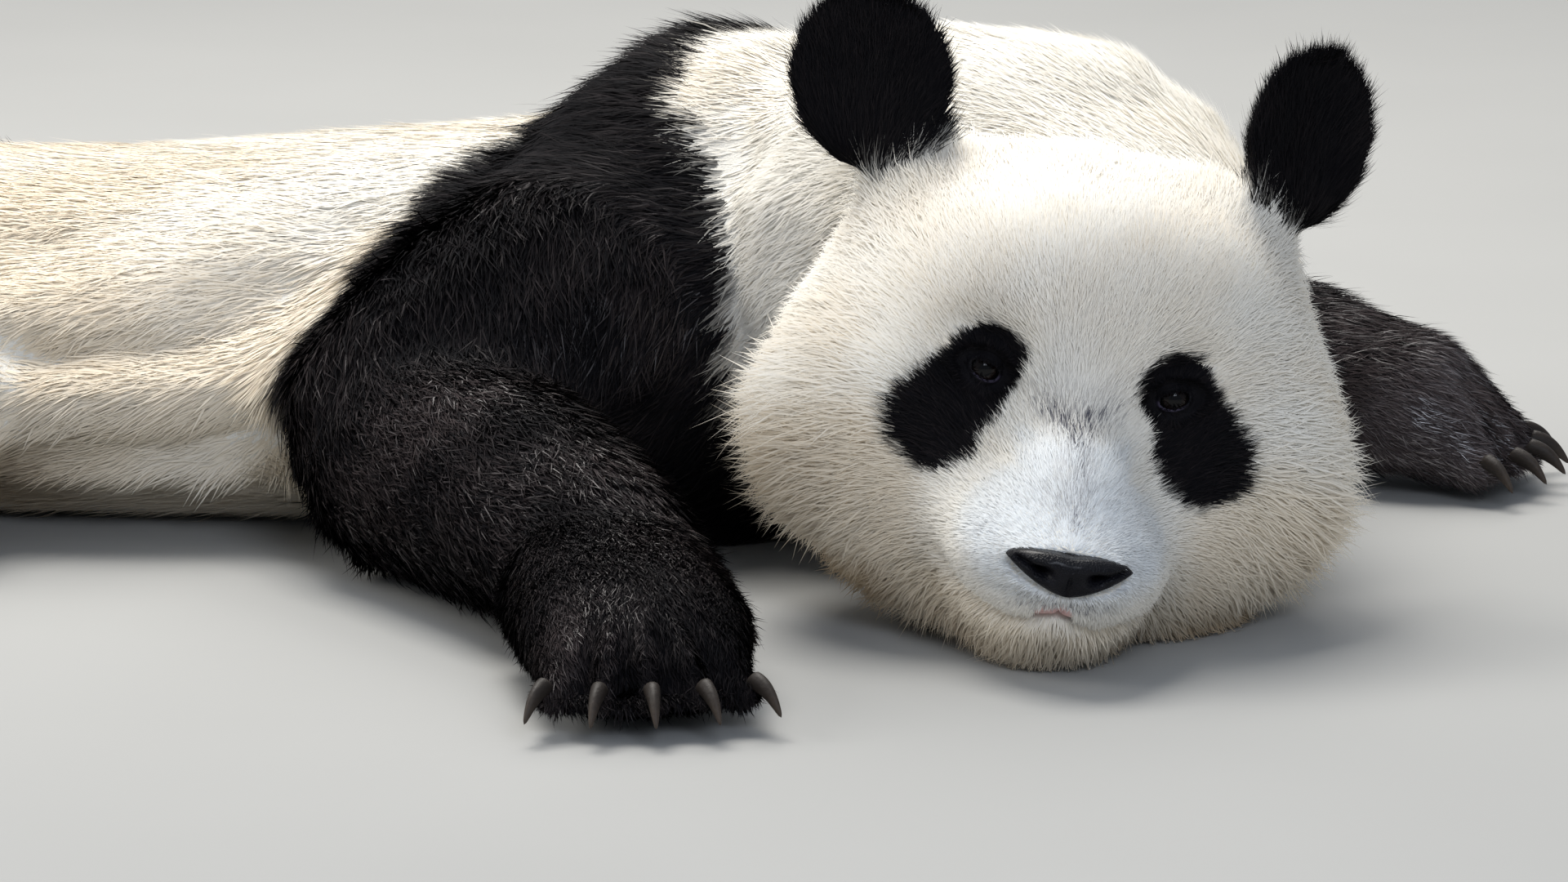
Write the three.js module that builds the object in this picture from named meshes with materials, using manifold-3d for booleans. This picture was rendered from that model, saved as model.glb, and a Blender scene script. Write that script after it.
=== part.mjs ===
// A giant panda lying on its belly with its chin on the floor, at life size.
// Millimetres, +Z up. The face looks towards -Y and the body trails off towards -X.
// Every solid is the outline of the coat, and all of them rest on the plane z = 0.
import * as THREE from "three";
import { mergeVertices } from "three/addons/utils/BufferGeometryUtils.js";
import Module from "manifold-3d";

const wasm = await Module();
wasm.setup();

// ---------------------------------------------------------------- driving dimensions

const SEAM = 0.5; // clearance between neighbouring body parts
const EYE_LEVEL = 150; // height of the line between the eyes
const HEAD_YAW = 6; // degrees, towards +X
const HEAD_ROLL = 10; // degrees, crown towards +X
const EYE_SPACING = 106;
const EYE_RADIUS = 11.5;
const SPINE_Y = 445; // the hindquarters are alike on both sides of this line
const CLAW_LENGTH = 30;
const CLAW_ROOT = 12; // the claw's root ahead of the toe's middle
const TOES = 5;

const rad = THREE.MathUtils.degToRad;

// ---------------------------------------------------------------- finishes

const finish = (color, roughness) => new THREE.MeshStandardMaterial({ color, roughness, metalness: 0 });
const FINISHES = {
  white: finish("#e9e2d2", 0.9),
  black: finish("#14110f", 0.85),
  eye: finish("#120b08", 0.08),
  nose: finish("#0d0d10", 0.35),
  claw: finish("#4a4038", 0.5),
};

// ---------------------------------------------------------------- solids

// A closed geometry as a solid that can be cut and joined.
function solidOf(geometry) {
  const bare = geometry.clone();
  bare.deleteAttribute("normal");
  bare.deleteAttribute("uv");
  const merged = mergeVertices(bare, 1e-3);
  return new wasm.Manifold(
    new wasm.Mesh({
      numProp: 3,
      vertProperties: new Float32Array(merged.attributes.position.array),
      triVerts: new Uint32Array(merged.index.array),
    }),
  );
}

// The largest piece of a solid, without the crumbs that a cut leaves.
function largest(solid) {
  return solid.decompose().sort((a, b) => b.volume() - a.volume())[0];
}

function geometryOf(solid) {
  const { vertProperties, triVerts } = solid.getMesh();
  return new THREE.BufferGeometry()
    .setAttribute("position", new THREE.BufferAttribute(new Float32Array(vertProperties), 3))
    .setIndex(new THREE.BufferAttribute(new Uint32Array(triVerts), 1));
}

const union = (solids) => solids.reduce((whole, solid) => whole.add(solid));

// A point on a superellipse of half axes 1, where power 2 is a round one.
function rounded(angle, power) {
  const pull = (value) => Math.sign(value) * Math.abs(value) ** (2 / power);
  return [pull(Math.cos(angle)), pull(Math.sin(angle))];
}

// A fleshy tube through stations of half width and half height, closed by a dome at each end.
// sag moves the fullness towards the underside; grow thickens the whole tube.
function loft(stations, { along = 8, around = 14, capRings = 3, grow = 0, sag = 0, power = 2 } = {}) {
  const rings = along + 2 * capRings;
  const geometry = new THREE.SphereGeometry(1, around, rings);
  const spine = new THREE.CatmullRomCurve3(stations.map((s) => new THREE.Vector3(...s.at)));
  const girth = new THREE.CatmullRomCurve3(stations.map((s) => new THREE.Vector3(s.wide, s.high, 0)));
  const place = new THREE.Vector3();
  for (let ring = 0; ring <= rings; ring++) {
    const u = THREE.MathUtils.clamp((ring - capRings) / along, 0, 1);
    const pastEnd = Math.max(0, 1 - ring / capRings, 1 - (rings - ring) / capRings);
    const lean = (pastEnd * Math.PI) / 2;
    const outward = ring < capRings ? -1 : 1;
    const centre = spine.getPoint(u);
    const tangent = spine.getTangent(u);
    const side = new THREE.Vector3(0, 0, 1).cross(tangent).normalize();
    const up = tangent.clone().cross(side);
    const girthHere = girth.getPoint(u);
    const wide = girthHere.x + grow;
    const high = girthHere.y + grow;
    const dome = Math.min(wide, high) * Math.sin(lean) * outward;
    for (let turn = 0; turn <= around; turn++) {
      const [across, upward] = rounded((-2 * Math.PI * turn) / around, power);
      place
        .copy(centre)
        .addScaledVector(side, wide * across * (1 - sag * upward) * Math.cos(lean))
        .addScaledVector(up, high * upward * Math.cos(lean))
        .addScaledVector(tangent, dome);
      geometry.attributes.position.setXYZ(ring * (around + 1) + turn, place.x, place.y, place.z);
    }
  }
  return solidOf(geometry);
}

const FLOOR_SIZE = 4000;
const block = () => new THREE.BoxGeometry(FLOOR_SIZE, FLOOR_SIZE, FLOOR_SIZE);
const floor = solidOf(block().translate(0, 0, -FLOOR_SIZE / 2));

// ---------------------------------------------------------------- head

const headFrame = new THREE.Matrix4()
  .makeRotationFromEuler(new THREE.Euler(0, rad(HEAD_ROLL), rad(HEAD_YAW), "ZXY"))
  .setPosition(0, 0, EYE_LEVEL);

// The masses of the head as ellipsoids: centre and half axes, from the point between the eyes.
// x runs to the animal's left, y to the back of the head and z up. Paired masses are mirrored.
const HEAD_MASSES = [
  { at: [0, 95, 10], half: [146, 112, 112] }, // cranium
  { at: [85, 78, -45], half: [86, 92, 92], paired: true }, // cheek
  { at: [48, 60, -88], half: [76, 80, 66], paired: true }, // jowl
  { at: [0, 32, 42], half: [100, 50, 60] }, // forehead
  { at: [0, -18, -48], half: [36, 60, 34] }, // bridge of the nose
  { at: [0, -38, -90], half: [66, 66, 39] }, // muzzle
  { at: [0, -12, -126], half: [48, 62, 32] }, // chin
].flatMap(({ at: [x, y, z], half, paired }) => {
  const places = paired ? [-x, x] : [x];
  return places.map((across) => ({ at: [across, y, z], half }));
});
const ORBIT = { at: [58, -30, -6], half: [24, 20, 28] };
const FLESH_BLEND = 26;
const ORBIT_BLEND = 14;

// Signed distance to an ellipsoid, close to exact near its surface.
function ellipsoidDistance([x, y, z], { at, half }) {
  const [u, v, w] = [(x - at[0]) / half[0], (y - at[1]) / half[1], (z - at[2]) / half[2]];
  const scaled = Math.hypot(u, v, w);
  const slope = Math.hypot(u / half[0], v / half[1], w / half[2]);
  return slope < 1e-9 ? -Math.min(...half) : (scaled * (scaled - 1)) / slope;
}

function smoothUnion(a, b, blend) {
  const h = Math.max(blend - Math.abs(a - b), 0) / blend;
  return Math.min(a, b) - (h * h * blend) / 4;
}

function headDistance(point) {
  const flesh = HEAD_MASSES.map((mass) => ellipsoidDistance(point, mass)).reduce((a, b) =>
    smoothUnion(a, b, FLESH_BLEND),
  );
  const orbit = ellipsoidDistance([Math.abs(point[0]), point[1], point[2]], ORBIT);
  return -smoothUnion(-flesh, orbit, ORBIT_BLEND);
}

const HEAD_CORE = [0, 62, -38]; // every point of the head's surface is seen from here
const HEAD_DETAIL = 8;
const HEAD_REACH = 260;

function headSolid(grow = 0) {
  const geometry = new THREE.IcosahedronGeometry(1, HEAD_DETAIL);
  const position = geometry.attributes.position;
  const direction = new THREE.Vector3();
  for (let i = 0; i < position.count; i++) {
    direction.fromBufferAttribute(position, i).normalize();
    let inside = 0;
    let outside = HEAD_REACH;
    while (outside - inside > 0.01) {
      const reach = (inside + outside) / 2;
      const point = HEAD_CORE.map((core, axis) => core + reach * direction.getComponent(axis));
      if (headDistance(point) < grow) inside = reach;
      else outside = reach;
    }
    position.setXYZ(i, ...HEAD_CORE.map((core, axis) => core + inside * direction.getComponent(axis)));
  }
  return solidOf(geometry.applyMatrix4(headFrame));
}

const EYE_DEPTH = 5; // the eyeball's centre behind the line between the eyes
const OPENING = { depth: 50, mouth: 24, lidOverlap: 1.5, outward: 12 };

const eyeCentre = (side) => new THREE.Vector3((side * EYE_SPACING) / 2, EYE_DEPTH, 0);

function eyeball(side, grow = 0) {
  const centre = eyeCentre(side);
  const ball = new THREE.SphereGeometry(EYE_RADIUS + grow, 10, 6).translate(centre.x, centre.y, centre.z);
  return solidOf(ball.applyMatrix4(headFrame));
}

// The opening in front of an eyeball, out through the coat.
function eyeOpening(side) {
  const centre = eyeCentre(side);
  const { depth, mouth, lidOverlap, outward } = OPENING;
  const cone = new THREE.CylinderGeometry(mouth, EYE_RADIUS - lidOverlap, depth, 8);
  cone.rotateX(Math.PI / 2).rotateZ(rad(side * outward)).translate(centre.x, centre.y - depth / 2, centre.z);
  return solidOf(cone.applyMatrix4(headFrame));
}

const NOSE = { width: 68, height: 25, depth: 16, bevel: 4, at: [0, -102, -83], tilt: 14 };

// A pad with a broad top edge and a blunt point below it.
function nosePad(grow = 0) {
  const half = NOSE.width / 2 - NOSE.bevel + grow;
  const top = NOSE.height / 2 - NOSE.bevel + grow;
  const [corner, shoulder, crown, wing] = [0.4 * top, 0.7 * half, 1.2 * top, 0.6 * half];
  const outline = new THREE.Shape()
    .moveTo(-half, corner)
    .quadraticCurveTo(-half, top, -shoulder, top)
    .quadraticCurveTo(0, crown, shoulder, top)
    .quadraticCurveTo(half, top, half, corner)
    .quadraticCurveTo(wing, -shoulder * (top / half), 0, -top)
    .quadraticCurveTo(-wing, -shoulder * (top / half), -half, corner);
  const pad = new THREE.ExtrudeGeometry(outline, {
    depth: NOSE.depth + 2 * grow,
    curveSegments: 3,
    bevelSize: NOSE.bevel,
    bevelThickness: NOSE.bevel,
    bevelSegments: 1,
  });
  pad.translate(0, 0, -NOSE.depth - grow);
  pad.rotateX(rad(90 - NOSE.tilt)).translate(...NOSE.at);
  return solidOf(pad.applyMatrix4(headFrame));
}

const EAR = { half: [51, 15, 54], cup: 17 };

// Each ear is turned by its own muscles: the left one is pricked further to the side.
// turn is the heading of the bowl's mouth and lean its tilt, both in degrees towards the animal's left.
const EAR_POSES = {
  right: { at: [-130, 104, 130], turn: -22, lean: -8 },
  left: { at: [113, 104, 136], turn: 38, lean: -8 },
};

// A round bowl that opens forwards.
function ear({ at, turn, lean }, grow = 0) {
  const geometry = new THREE.SphereGeometry(1, 12, 8);
  geometry.rotateX(Math.PI / 2);
  const position = geometry.attributes.position;
  for (let i = 0; i < position.count; i++) {
    const [x, y, z] = [position.getX(i), position.getY(i), position.getZ(i)];
    const rim = x * x + z * z;
    position.setXYZ(
      i,
      x * (EAR.half[0] + grow),
      y * (EAR.half[1] + grow) - EAR.cup * (rim - 0.5),
      z * (EAR.half[2] + grow),
    );
  }
  geometry.rotateZ(rad(turn)).rotateY(rad(lean)).translate(...at);
  return solidOf(geometry.applyMatrix4(headFrame));
}

// ---------------------------------------------------------------- trunk

const TRUNK = [
  { at: [-128, 320, 138], wide: 142, high: 134 }, // base of the neck
  { at: [-200, 364, 136], wide: 184, high: 168 }, // withers
  { at: [-305, 416, 115], wide: 214, high: 127 }, // ribs
  { at: [-440, 442, 106], wide: 229, high: 117 }, // belly
  { at: [-590, 450, 100], wide: 232, high: 110 }, // loin
  { at: [-750, SPINE_Y, 102], wide: 214, high: 112 }, // hips
  { at: [-885, SPINE_Y - 5, 98], wide: 150, high: 103 }, // rump
];
const trunk = (grow = 0) => loft(TRUNK, { along: 11, around: 20, grow, sag: 0.16, power: 2.25 });

const NECK = [
  { at: [12, 205, 156], wide: 134, high: 124 },
  { at: [-26, 254, 160], wide: 164, high: 149 },
  { at: [-82, 304, 162], wide: 168, high: 150 },
];
const neck = (grow = 0) => loft(NECK, { along: 4, around: 16, capRings: 2, grow, power: 2.3 });

// The plane behind the shoulder blades that parts the shoulders from the rest of the trunk.
const SHOULDER_CUT = { at: [-268, 402, 0], heading: 157 };

function halfSpace(cut, ahead) {
  const half = block().translate(((ahead ? -1 : 1) * (FLOOR_SIZE + SEAM)) / 2, 0, 0);
  return solidOf(half.rotateZ(rad(cut.heading)).translate(...cut.at));
}

const TAIL = [
  { at: [-946, SPINE_Y - 5, 142], wide: 46, high: 36 },
  { at: [-978, SPINE_Y - 3, 112], wide: 48, high: 34 },
  { at: [-994, SPINE_Y - 1, 76], wide: 38, high: 27 },
];
const tail = (grow = 0) => loft(TAIL, { along: 4, around: 10, capRings: 2, grow });

// ---------------------------------------------------------------- legs

// Each limb is three lofts; its foot adds toes, which fan out from the front of the pad.
const LIMBS = {
  fore_right: {
    upper: [
      { at: [-205, 318, 148], wide: 96, high: 112 },
      { at: [-298, 262, 130], wide: 112, high: 108 },
      { at: [-388, 212, 90], wide: 86, high: 88 },
    ],
    lower: [
      { at: [-378, 190, 74], wide: 82, high: 78 },
      { at: [-316, 84, 68], wide: 76, high: 70 },
      { at: [-258, -22, 55], wide: 64, high: 56 },
    ],
    foot: [
      { at: [-256, -46, 48], wide: 65, high: 49 },
      { at: [-236, -124, 41], wide: 69, high: 43 },
      { at: [-227, -182, 32], wide: 61, high: 33 },
    ],
  },
  fore_left: {
    upper: [
      { at: [-40, 385, 155], wide: 88, high: 104 },
      { at: [2, 462, 120], wide: 92, high: 96 },
      { at: [36, 520, 86], wide: 78, high: 82 },
    ],
    lower: [
      { at: [52, 528, 72], wide: 74, high: 73 },
      { at: [114, 500, 68], wide: 66, high: 62 },
      { at: [162, 472, 63], wide: 60, high: 54 },
    ],
    foot: [
      { at: [170, 468, 58], wide: 62, high: 50 },
      { at: [207, 454, 50], wide: 65, high: 47 },
      { at: [236, 446, 35], wide: 58, high: 38 },
    ],
  },
  hind_right: {
    upper: [
      { at: [-838, 345, 114], wide: 122, high: 104 },
      { at: [-786, 268, 108], wide: 114, high: 98 },
      { at: [-712, 206, 92], wide: 84, high: 81 },
    ],
    lower: [
      { at: [-716, 178, 68], wide: 64, high: 68 },
      { at: [-792, 162, 60], wide: 60, high: 60 },
      { at: [-872, 158, 46], wide: 54, high: 48 },
    ],
    foot: [
      { at: [-878, 118, 40], wide: 50, high: 42 },
      { at: [-800, 84, 38], wide: 62, high: 40 },
      { at: [-730, 66, 31], wide: 62, high: 32 },
    ],
  },
};

// The far hind leg lies like the near one on the other side of the spine, a little further out.
const FAR_LEG_SHIFT = 14;
const acrossSpine = ({ at: [x, y, z], ...girth }) => ({
  at: [x + FAR_LEG_SHIFT, 2 * SPINE_Y - y, z],
  ...girth,
});
LIMBS.hind_left = Object.fromEntries(
  Object.entries(LIMBS.hind_right).map(([part, stations]) => [part, stations.map(acrossSpine)]),
);

const LIMB_LOFT = {
  upper: { along: 4, around: 11, sag: 0.08, capRings: 2 },
  lower: { along: 3, around: 12, sag: 0.06, power: 2.1, capRings: 2 },
  foot: { along: 2, around: 12, sag: 0.1, power: 2.3, capRings: 2 },
};
const segment = (limb, part, grow = 0) => loft(LIMBS[limb][part], { ...LIMB_LOFT[part], grow });

const TOE = { radius: [15, 25, 17], fan: 62, height: 22 };
const TOE_ARC = { width: 1.55, ahead: 22, fallBack: 52 }; // width as a share of the foot's half width

// The toes' places and headings: they stand on an arc round the front of the foot.
function toeFrames(limb) {
  const [, middle, front] = LIMBS[limb].foot;
  const [dx, dy] = [front.at[0] - middle.at[0], front.at[1] - middle.at[1]];
  const heading = Math.atan2(dy, dx);
  return Array.from({ length: TOES }, (_, i) => {
    const share = i / (TOES - 1) - 0.5;
    const angle = heading + rad(TOE.fan) * share;
    const sideways = front.wide * TOE_ARC.width * share;
    const forwards = TOE_ARC.ahead - TOE_ARC.fallBack * share * share;
    return new THREE.Matrix4()
      .makeRotationZ(angle)
      .setPosition(
        front.at[0] + forwards * Math.cos(heading) - sideways * Math.sin(heading),
        front.at[1] + forwards * Math.sin(heading) + sideways * Math.cos(heading),
        TOE.height,
      );
  });
}

function toe(frame, grow = 0) {
  const [wide, long, high] = TOE.radius.map((radius) => radius + grow);
  return solidOf(new THREE.SphereGeometry(1, 7, 5).scale(long, wide, high).applyMatrix4(frame));
}

// A claw leaves the upper front of its toe and curves down to just above the floor.
function claw(frame, grow = 0) {
  const stations = [
    { at: [CLAW_ROOT, 0, 2], wide: 6.4, high: 7.6 },
    { at: [CLAW_ROOT + CLAW_LENGTH * 0.45, 0, 1.5], wide: 5.4, high: 6.6 },
    { at: [CLAW_ROOT + CLAW_LENGTH, 0, -11], wide: 1.8, high: 2.2 },
  ];
  return loft(stations, { along: 2, around: 5, capRings: 1, grow }).transform(frame.elements);
}

// ---------------------------------------------------------------- assembly

const panda = new THREE.Group();
panda.name = "giant_panda";
const headGroup = new THREE.Group();
headGroup.applyMatrix4(headFrame);
panda.add(headGroup);

// Adds a solid to a group as a named mesh, placed in the group's own frame.
function addNode(group, name, solid, material) {
  group.updateWorldMatrix(true, false);
  const geometry = geometryOf(largest(solid)).applyMatrix4(group.matrixWorld.clone().invert());
  const mesh = new THREE.Mesh(geometry, material);
  mesh.name = name;
  group.add(mesh);
}

const cut = (solid, ...tools) => solid.subtract(union([floor, ...tools]));

const grownTrunk = trunk(SEAM);
const grownNeck = neck(SEAM);
const grownHead = headSolid(SEAM);
const { black, white } = FINISHES;

const restingTrunk = cut(trunk());
addNode(panda, "shoulders", restingTrunk.intersect(halfSpace(SHOULDER_CUT, true)), black);
addNode(panda, "trunk", restingTrunk.intersect(halfSpace(SHOULDER_CUT, false)), white);
addNode(panda, "neck", cut(neck(), grownTrunk), white);
addNode(panda, "tail", cut(tail(), grownTrunk), white);

const sides = { right: -1, left: 1 };
const sockets = Object.values(sides).flatMap((side) => [eyeball(side, SEAM), eyeOpening(side)]);
addNode(headGroup, "head", cut(headSolid(), grownNeck, grownTrunk, nosePad(SEAM), ...sockets), white);
addNode(headGroup, "nose", nosePad(), FINISHES.nose);
for (const [name, side] of Object.entries(sides)) {
  addNode(headGroup, `eye_${name}`, eyeball(side), FINISHES.eye);
  addNode(headGroup, `ear_${name}`, cut(ear(EAR_POSES[name]), grownHead, grownNeck, grownTrunk), black);
}

const core = [grownTrunk, grownNeck, grownHead];
const PART_NAMES = {
  fore: { upper: "upper_arm", lower: "forearm", foot: "forepaw" },
  hind: { upper: "thigh", lower: "shank", foot: "hind_foot" },
};
for (const limb of Object.keys(LIMBS)) {
  const [end, side] = limb.split("_");
  const nameOf = (part) => `${PART_NAMES[end][part]}_${side}`;
  const upperGrown = segment(limb, "upper", SEAM);
  const lowerGrown = segment(limb, "lower", SEAM);
  const frames = toeFrames(limb);
  const toes = (grow) => frames.map((frame) => toe(frame, grow));
  const footAndToes = (grow = 0) => union([segment(limb, "foot", grow), ...toes(grow)]);
  const footGrown = footAndToes(SEAM);
  addNode(panda, nameOf("upper"), cut(segment(limb, "upper"), ...core), black);
  addNode(panda, nameOf("lower"), cut(segment(limb, "lower"), ...core, upperGrown), black);
  addNode(panda, nameOf("foot"), cut(footAndToes(), ...core, upperGrown, lowerGrown), black);
  frames.forEach((frame, i) => {
    addNode(panda, `claw_${end}_${side}_${i + 1}`, cut(claw(frame), footGrown), FINISHES.claw);
  });
}

// The origin is the middle of the underside.
const box = new THREE.Box3().setFromObject(panda, true);
const middle = box.getCenter(new THREE.Vector3());
panda.position.set(-middle.x, -middle.y, -box.min.z);

export default panda;
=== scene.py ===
"""A life-size giant panda at rest on its belly: one skin, a coat of solid tufts, eyes, nose pad and claws."""

import logging
import math
from dataclasses import dataclass
from enum import Enum
from typing import Callable, NamedTuple

import bmesh
import bpy
import numpy as np
from mathutils import Matrix, Vector
from mathutils.bvhtree import BVHTree


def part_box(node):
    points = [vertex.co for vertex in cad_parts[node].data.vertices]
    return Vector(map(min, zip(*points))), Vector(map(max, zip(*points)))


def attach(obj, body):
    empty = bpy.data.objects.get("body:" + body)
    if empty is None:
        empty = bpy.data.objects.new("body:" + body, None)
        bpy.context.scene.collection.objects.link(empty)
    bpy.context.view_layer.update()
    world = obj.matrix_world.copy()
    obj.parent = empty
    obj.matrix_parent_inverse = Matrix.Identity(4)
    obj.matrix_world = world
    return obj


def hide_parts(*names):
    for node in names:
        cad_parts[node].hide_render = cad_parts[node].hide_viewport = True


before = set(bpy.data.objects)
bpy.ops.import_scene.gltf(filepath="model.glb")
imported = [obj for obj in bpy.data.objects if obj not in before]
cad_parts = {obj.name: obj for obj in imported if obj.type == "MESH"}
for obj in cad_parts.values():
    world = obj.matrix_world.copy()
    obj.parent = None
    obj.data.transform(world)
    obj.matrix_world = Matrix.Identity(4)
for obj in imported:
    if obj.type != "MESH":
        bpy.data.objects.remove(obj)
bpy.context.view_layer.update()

log = logging.getLogger("panda")
Array = np.ndarray
Colour = tuple[float, float, float]
BODY = "root"
SIDES = ("left", "right")
HARD_NODES = ("eye_left", "eye_right", "nose")
MM = 0.001
SEED = 29
TINY = 1e-12
SAME_PLACE = 1e-6
FAR = 99.0


# ---------------------------------------------------------------- numbers over many points


def unit(vectors: Array) -> Array:
    """Vectors at length one."""
    return vectors / np.maximum(np.linalg.norm(vectors, axis=-1, keepdims=True), TINY)


def ease(low: float, high: float, value: "Array | float") -> Array:
    """A smooth step from 0 at low to 1 at high."""
    share = np.clip((value - low) / (high - low), 0.0, 1.0)
    return share * share * (3.0 - 2.0 * share)


def fall(low: float, high: float, value: "Array | float") -> Array:
    """A smooth step from 1 at low to 0 at high."""
    return 1.0 - ease(low, high, value)


def bell(value: Array, width: float) -> Array:
    """A bump that is 1 where the value is 0 and dies away on both sides."""
    return np.exp(-((value / width) ** 2))


def circle(turns: int) -> Array:
    """Even angles round a ring."""
    return np.linspace(0, 2 * math.pi, turns, endpoint=False)


def lerp(start: "Array | float", end: "Array | float", share: Array) -> Array:
    """The value a share of the way from start to end."""
    return start + (end - start) * share


def dot(a: Array, b: Array) -> Array:
    """Dot products, row by row."""
    return np.sum(a * b, axis=-1)


def distance(points: Array, place: Array) -> Array:
    """How far each point lies from a place."""
    return np.linalg.norm(points - place, axis=1)


def egg(points: Array, centre: tuple, radii: tuple) -> Array:
    """How far out points lie from the centre of an egg, whose surface is at 1."""
    return np.linalg.norm((points - np.array(centre)) / np.array(radii), axis=1)


def turned(vectors: Array, towards: Array, angle: Array) -> Array:
    """Vectors turned by an angle towards others that stand square to them."""
    return vectors * np.cos(angle)[:, None] + towards * np.sin(angle)[:, None]


def tangent(vectors: Array, normals: Array) -> Array:
    """Vectors laid flat on the surface and brought to length one."""
    return unit(vectors - normals * dot(vectors, normals)[:, None])


class Ripple:
    """Smooth seeded noise in space, made of plane waves of about one wavelength."""

    def __init__(self, wavelength: float, seed: int, waves: int = 9) -> None:
        """Draw the waves' directions and phases.

        Args:
            wavelength: Distance between crests, in metres.
            seed: Seed of this ripple's own draw.
            waves: How many waves are summed.
        """
        draw = np.random.default_rng(seed)
        lengths = wavelength * draw.uniform(0.7, 1.5, waves)
        self.steps = unit(draw.normal(size=(waves, 3))) * (2 * math.pi / lengths)[:, None]
        self.phases = draw.uniform(0, 2 * math.pi, waves)

    def __call__(self, points: Array) -> Array:
        """Values of about -1 to 1 at the points."""
        return np.sin(points @ self.steps.T + self.phases).sum(axis=1) / math.sqrt(2 * len(self.phases))


@dataclass(frozen=True)
class Axes:
    """A frame of reference: an origin and three axes as rows."""

    origin: Array
    rows: Array

    def local(self, points: Array) -> Array:
        """World points in this frame, in millimetres."""
        return (points - self.origin) @ self.rows.T / MM

    def world(self, points: Array) -> Array:
        """Points of this frame, in millimetres, in the world in metres."""
        return self.origin + np.asarray(points, float) * MM @ self.rows

    def turn(self, vectors: Array) -> Array:
        """Directions of this frame in the world."""
        return np.asarray(vectors, float) @ self.rows


def middle(node: str) -> Array:
    """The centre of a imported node's box."""
    low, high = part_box(node)
    return np.array((low + high) / 2)


def from_ears(points: Array) -> Array:
    """The distance to the nearer ear's middle, in millimetres."""
    return np.min([distance(points, middle(f"ear_{side}")) for side in SIDES], axis=0) / MM


def head_axes(nose_drop: float = 40.15) -> Axes:
    """The head's frame: x to the animal's left, y to the back of the head, z to the crown.

    Args:
        nose_drop: Degrees from straight ahead down to the nose pad, seen from between the eyes.

    Returns:
        The frame, with its origin midway between the eyeballs.
    """
    right, left = middle("eye_right"), middle("eye_left")
    origin = (right + left) / 2
    across = unit(left - right)
    to_nose = tangent((middle("nose") - origin)[None], across[None])[0]
    sideways = np.cross(across, to_nose)
    angle = math.radians(nose_drop)
    ahead = to_nose * math.cos(angle) + sideways * math.sin(angle) * math.copysign(1, sideways[2])
    return Axes(origin, np.array([across, -ahead, np.cross(across, -ahead)]))


# ---------------------------------------------------------------- shader maths


class Value:
    """A socket of a node tree that takes part in Python arithmetic."""

    def __init__(self, paint: "Paint", socket: bpy.types.NodeSocket) -> None:
        """Wrap a socket of a paint's tree."""
        self.paint = paint
        self.socket = socket

    def _math(self, operation: str, *terms: "Value | float") -> "Value":
        """A Math node over the terms."""
        node = self.paint.node("ShaderNodeMath", {"operation": operation}, dict(enumerate(terms)))
        return Value(self.paint, node.outputs[0])

    def __add__(self, other: "Value | float") -> "Value":
        """self + other."""
        return self._math("ADD", self, other)

    __radd__ = __add__

    def __sub__(self, other: "Value | float") -> "Value":
        """self - other."""
        return self._math("SUBTRACT", self, other)

    def __rsub__(self, other: "Value | float") -> "Value":
        """other - self."""
        return self._math("SUBTRACT", other, self)

    def __mul__(self, other: "Value | float") -> "Value":
        """self * other."""
        return self._math("MULTIPLY", self, other)

    __rmul__ = __mul__

    def step(self, low: float, high: float) -> "Value":
        """A smooth step on this value.

        Args:
            low: Where it leaves 0.
            high: Where it reaches 1.

        Returns:
            The stepped value.
        """
        settings = {"interpolation_type": "SMOOTHSTEP"}
        inputs = {"Value": self, "From Min": low, "From Max": high}
        return Value(self.paint, self.paint.node("ShaderNodeMapRange", settings, inputs).outputs["Result"])


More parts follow.
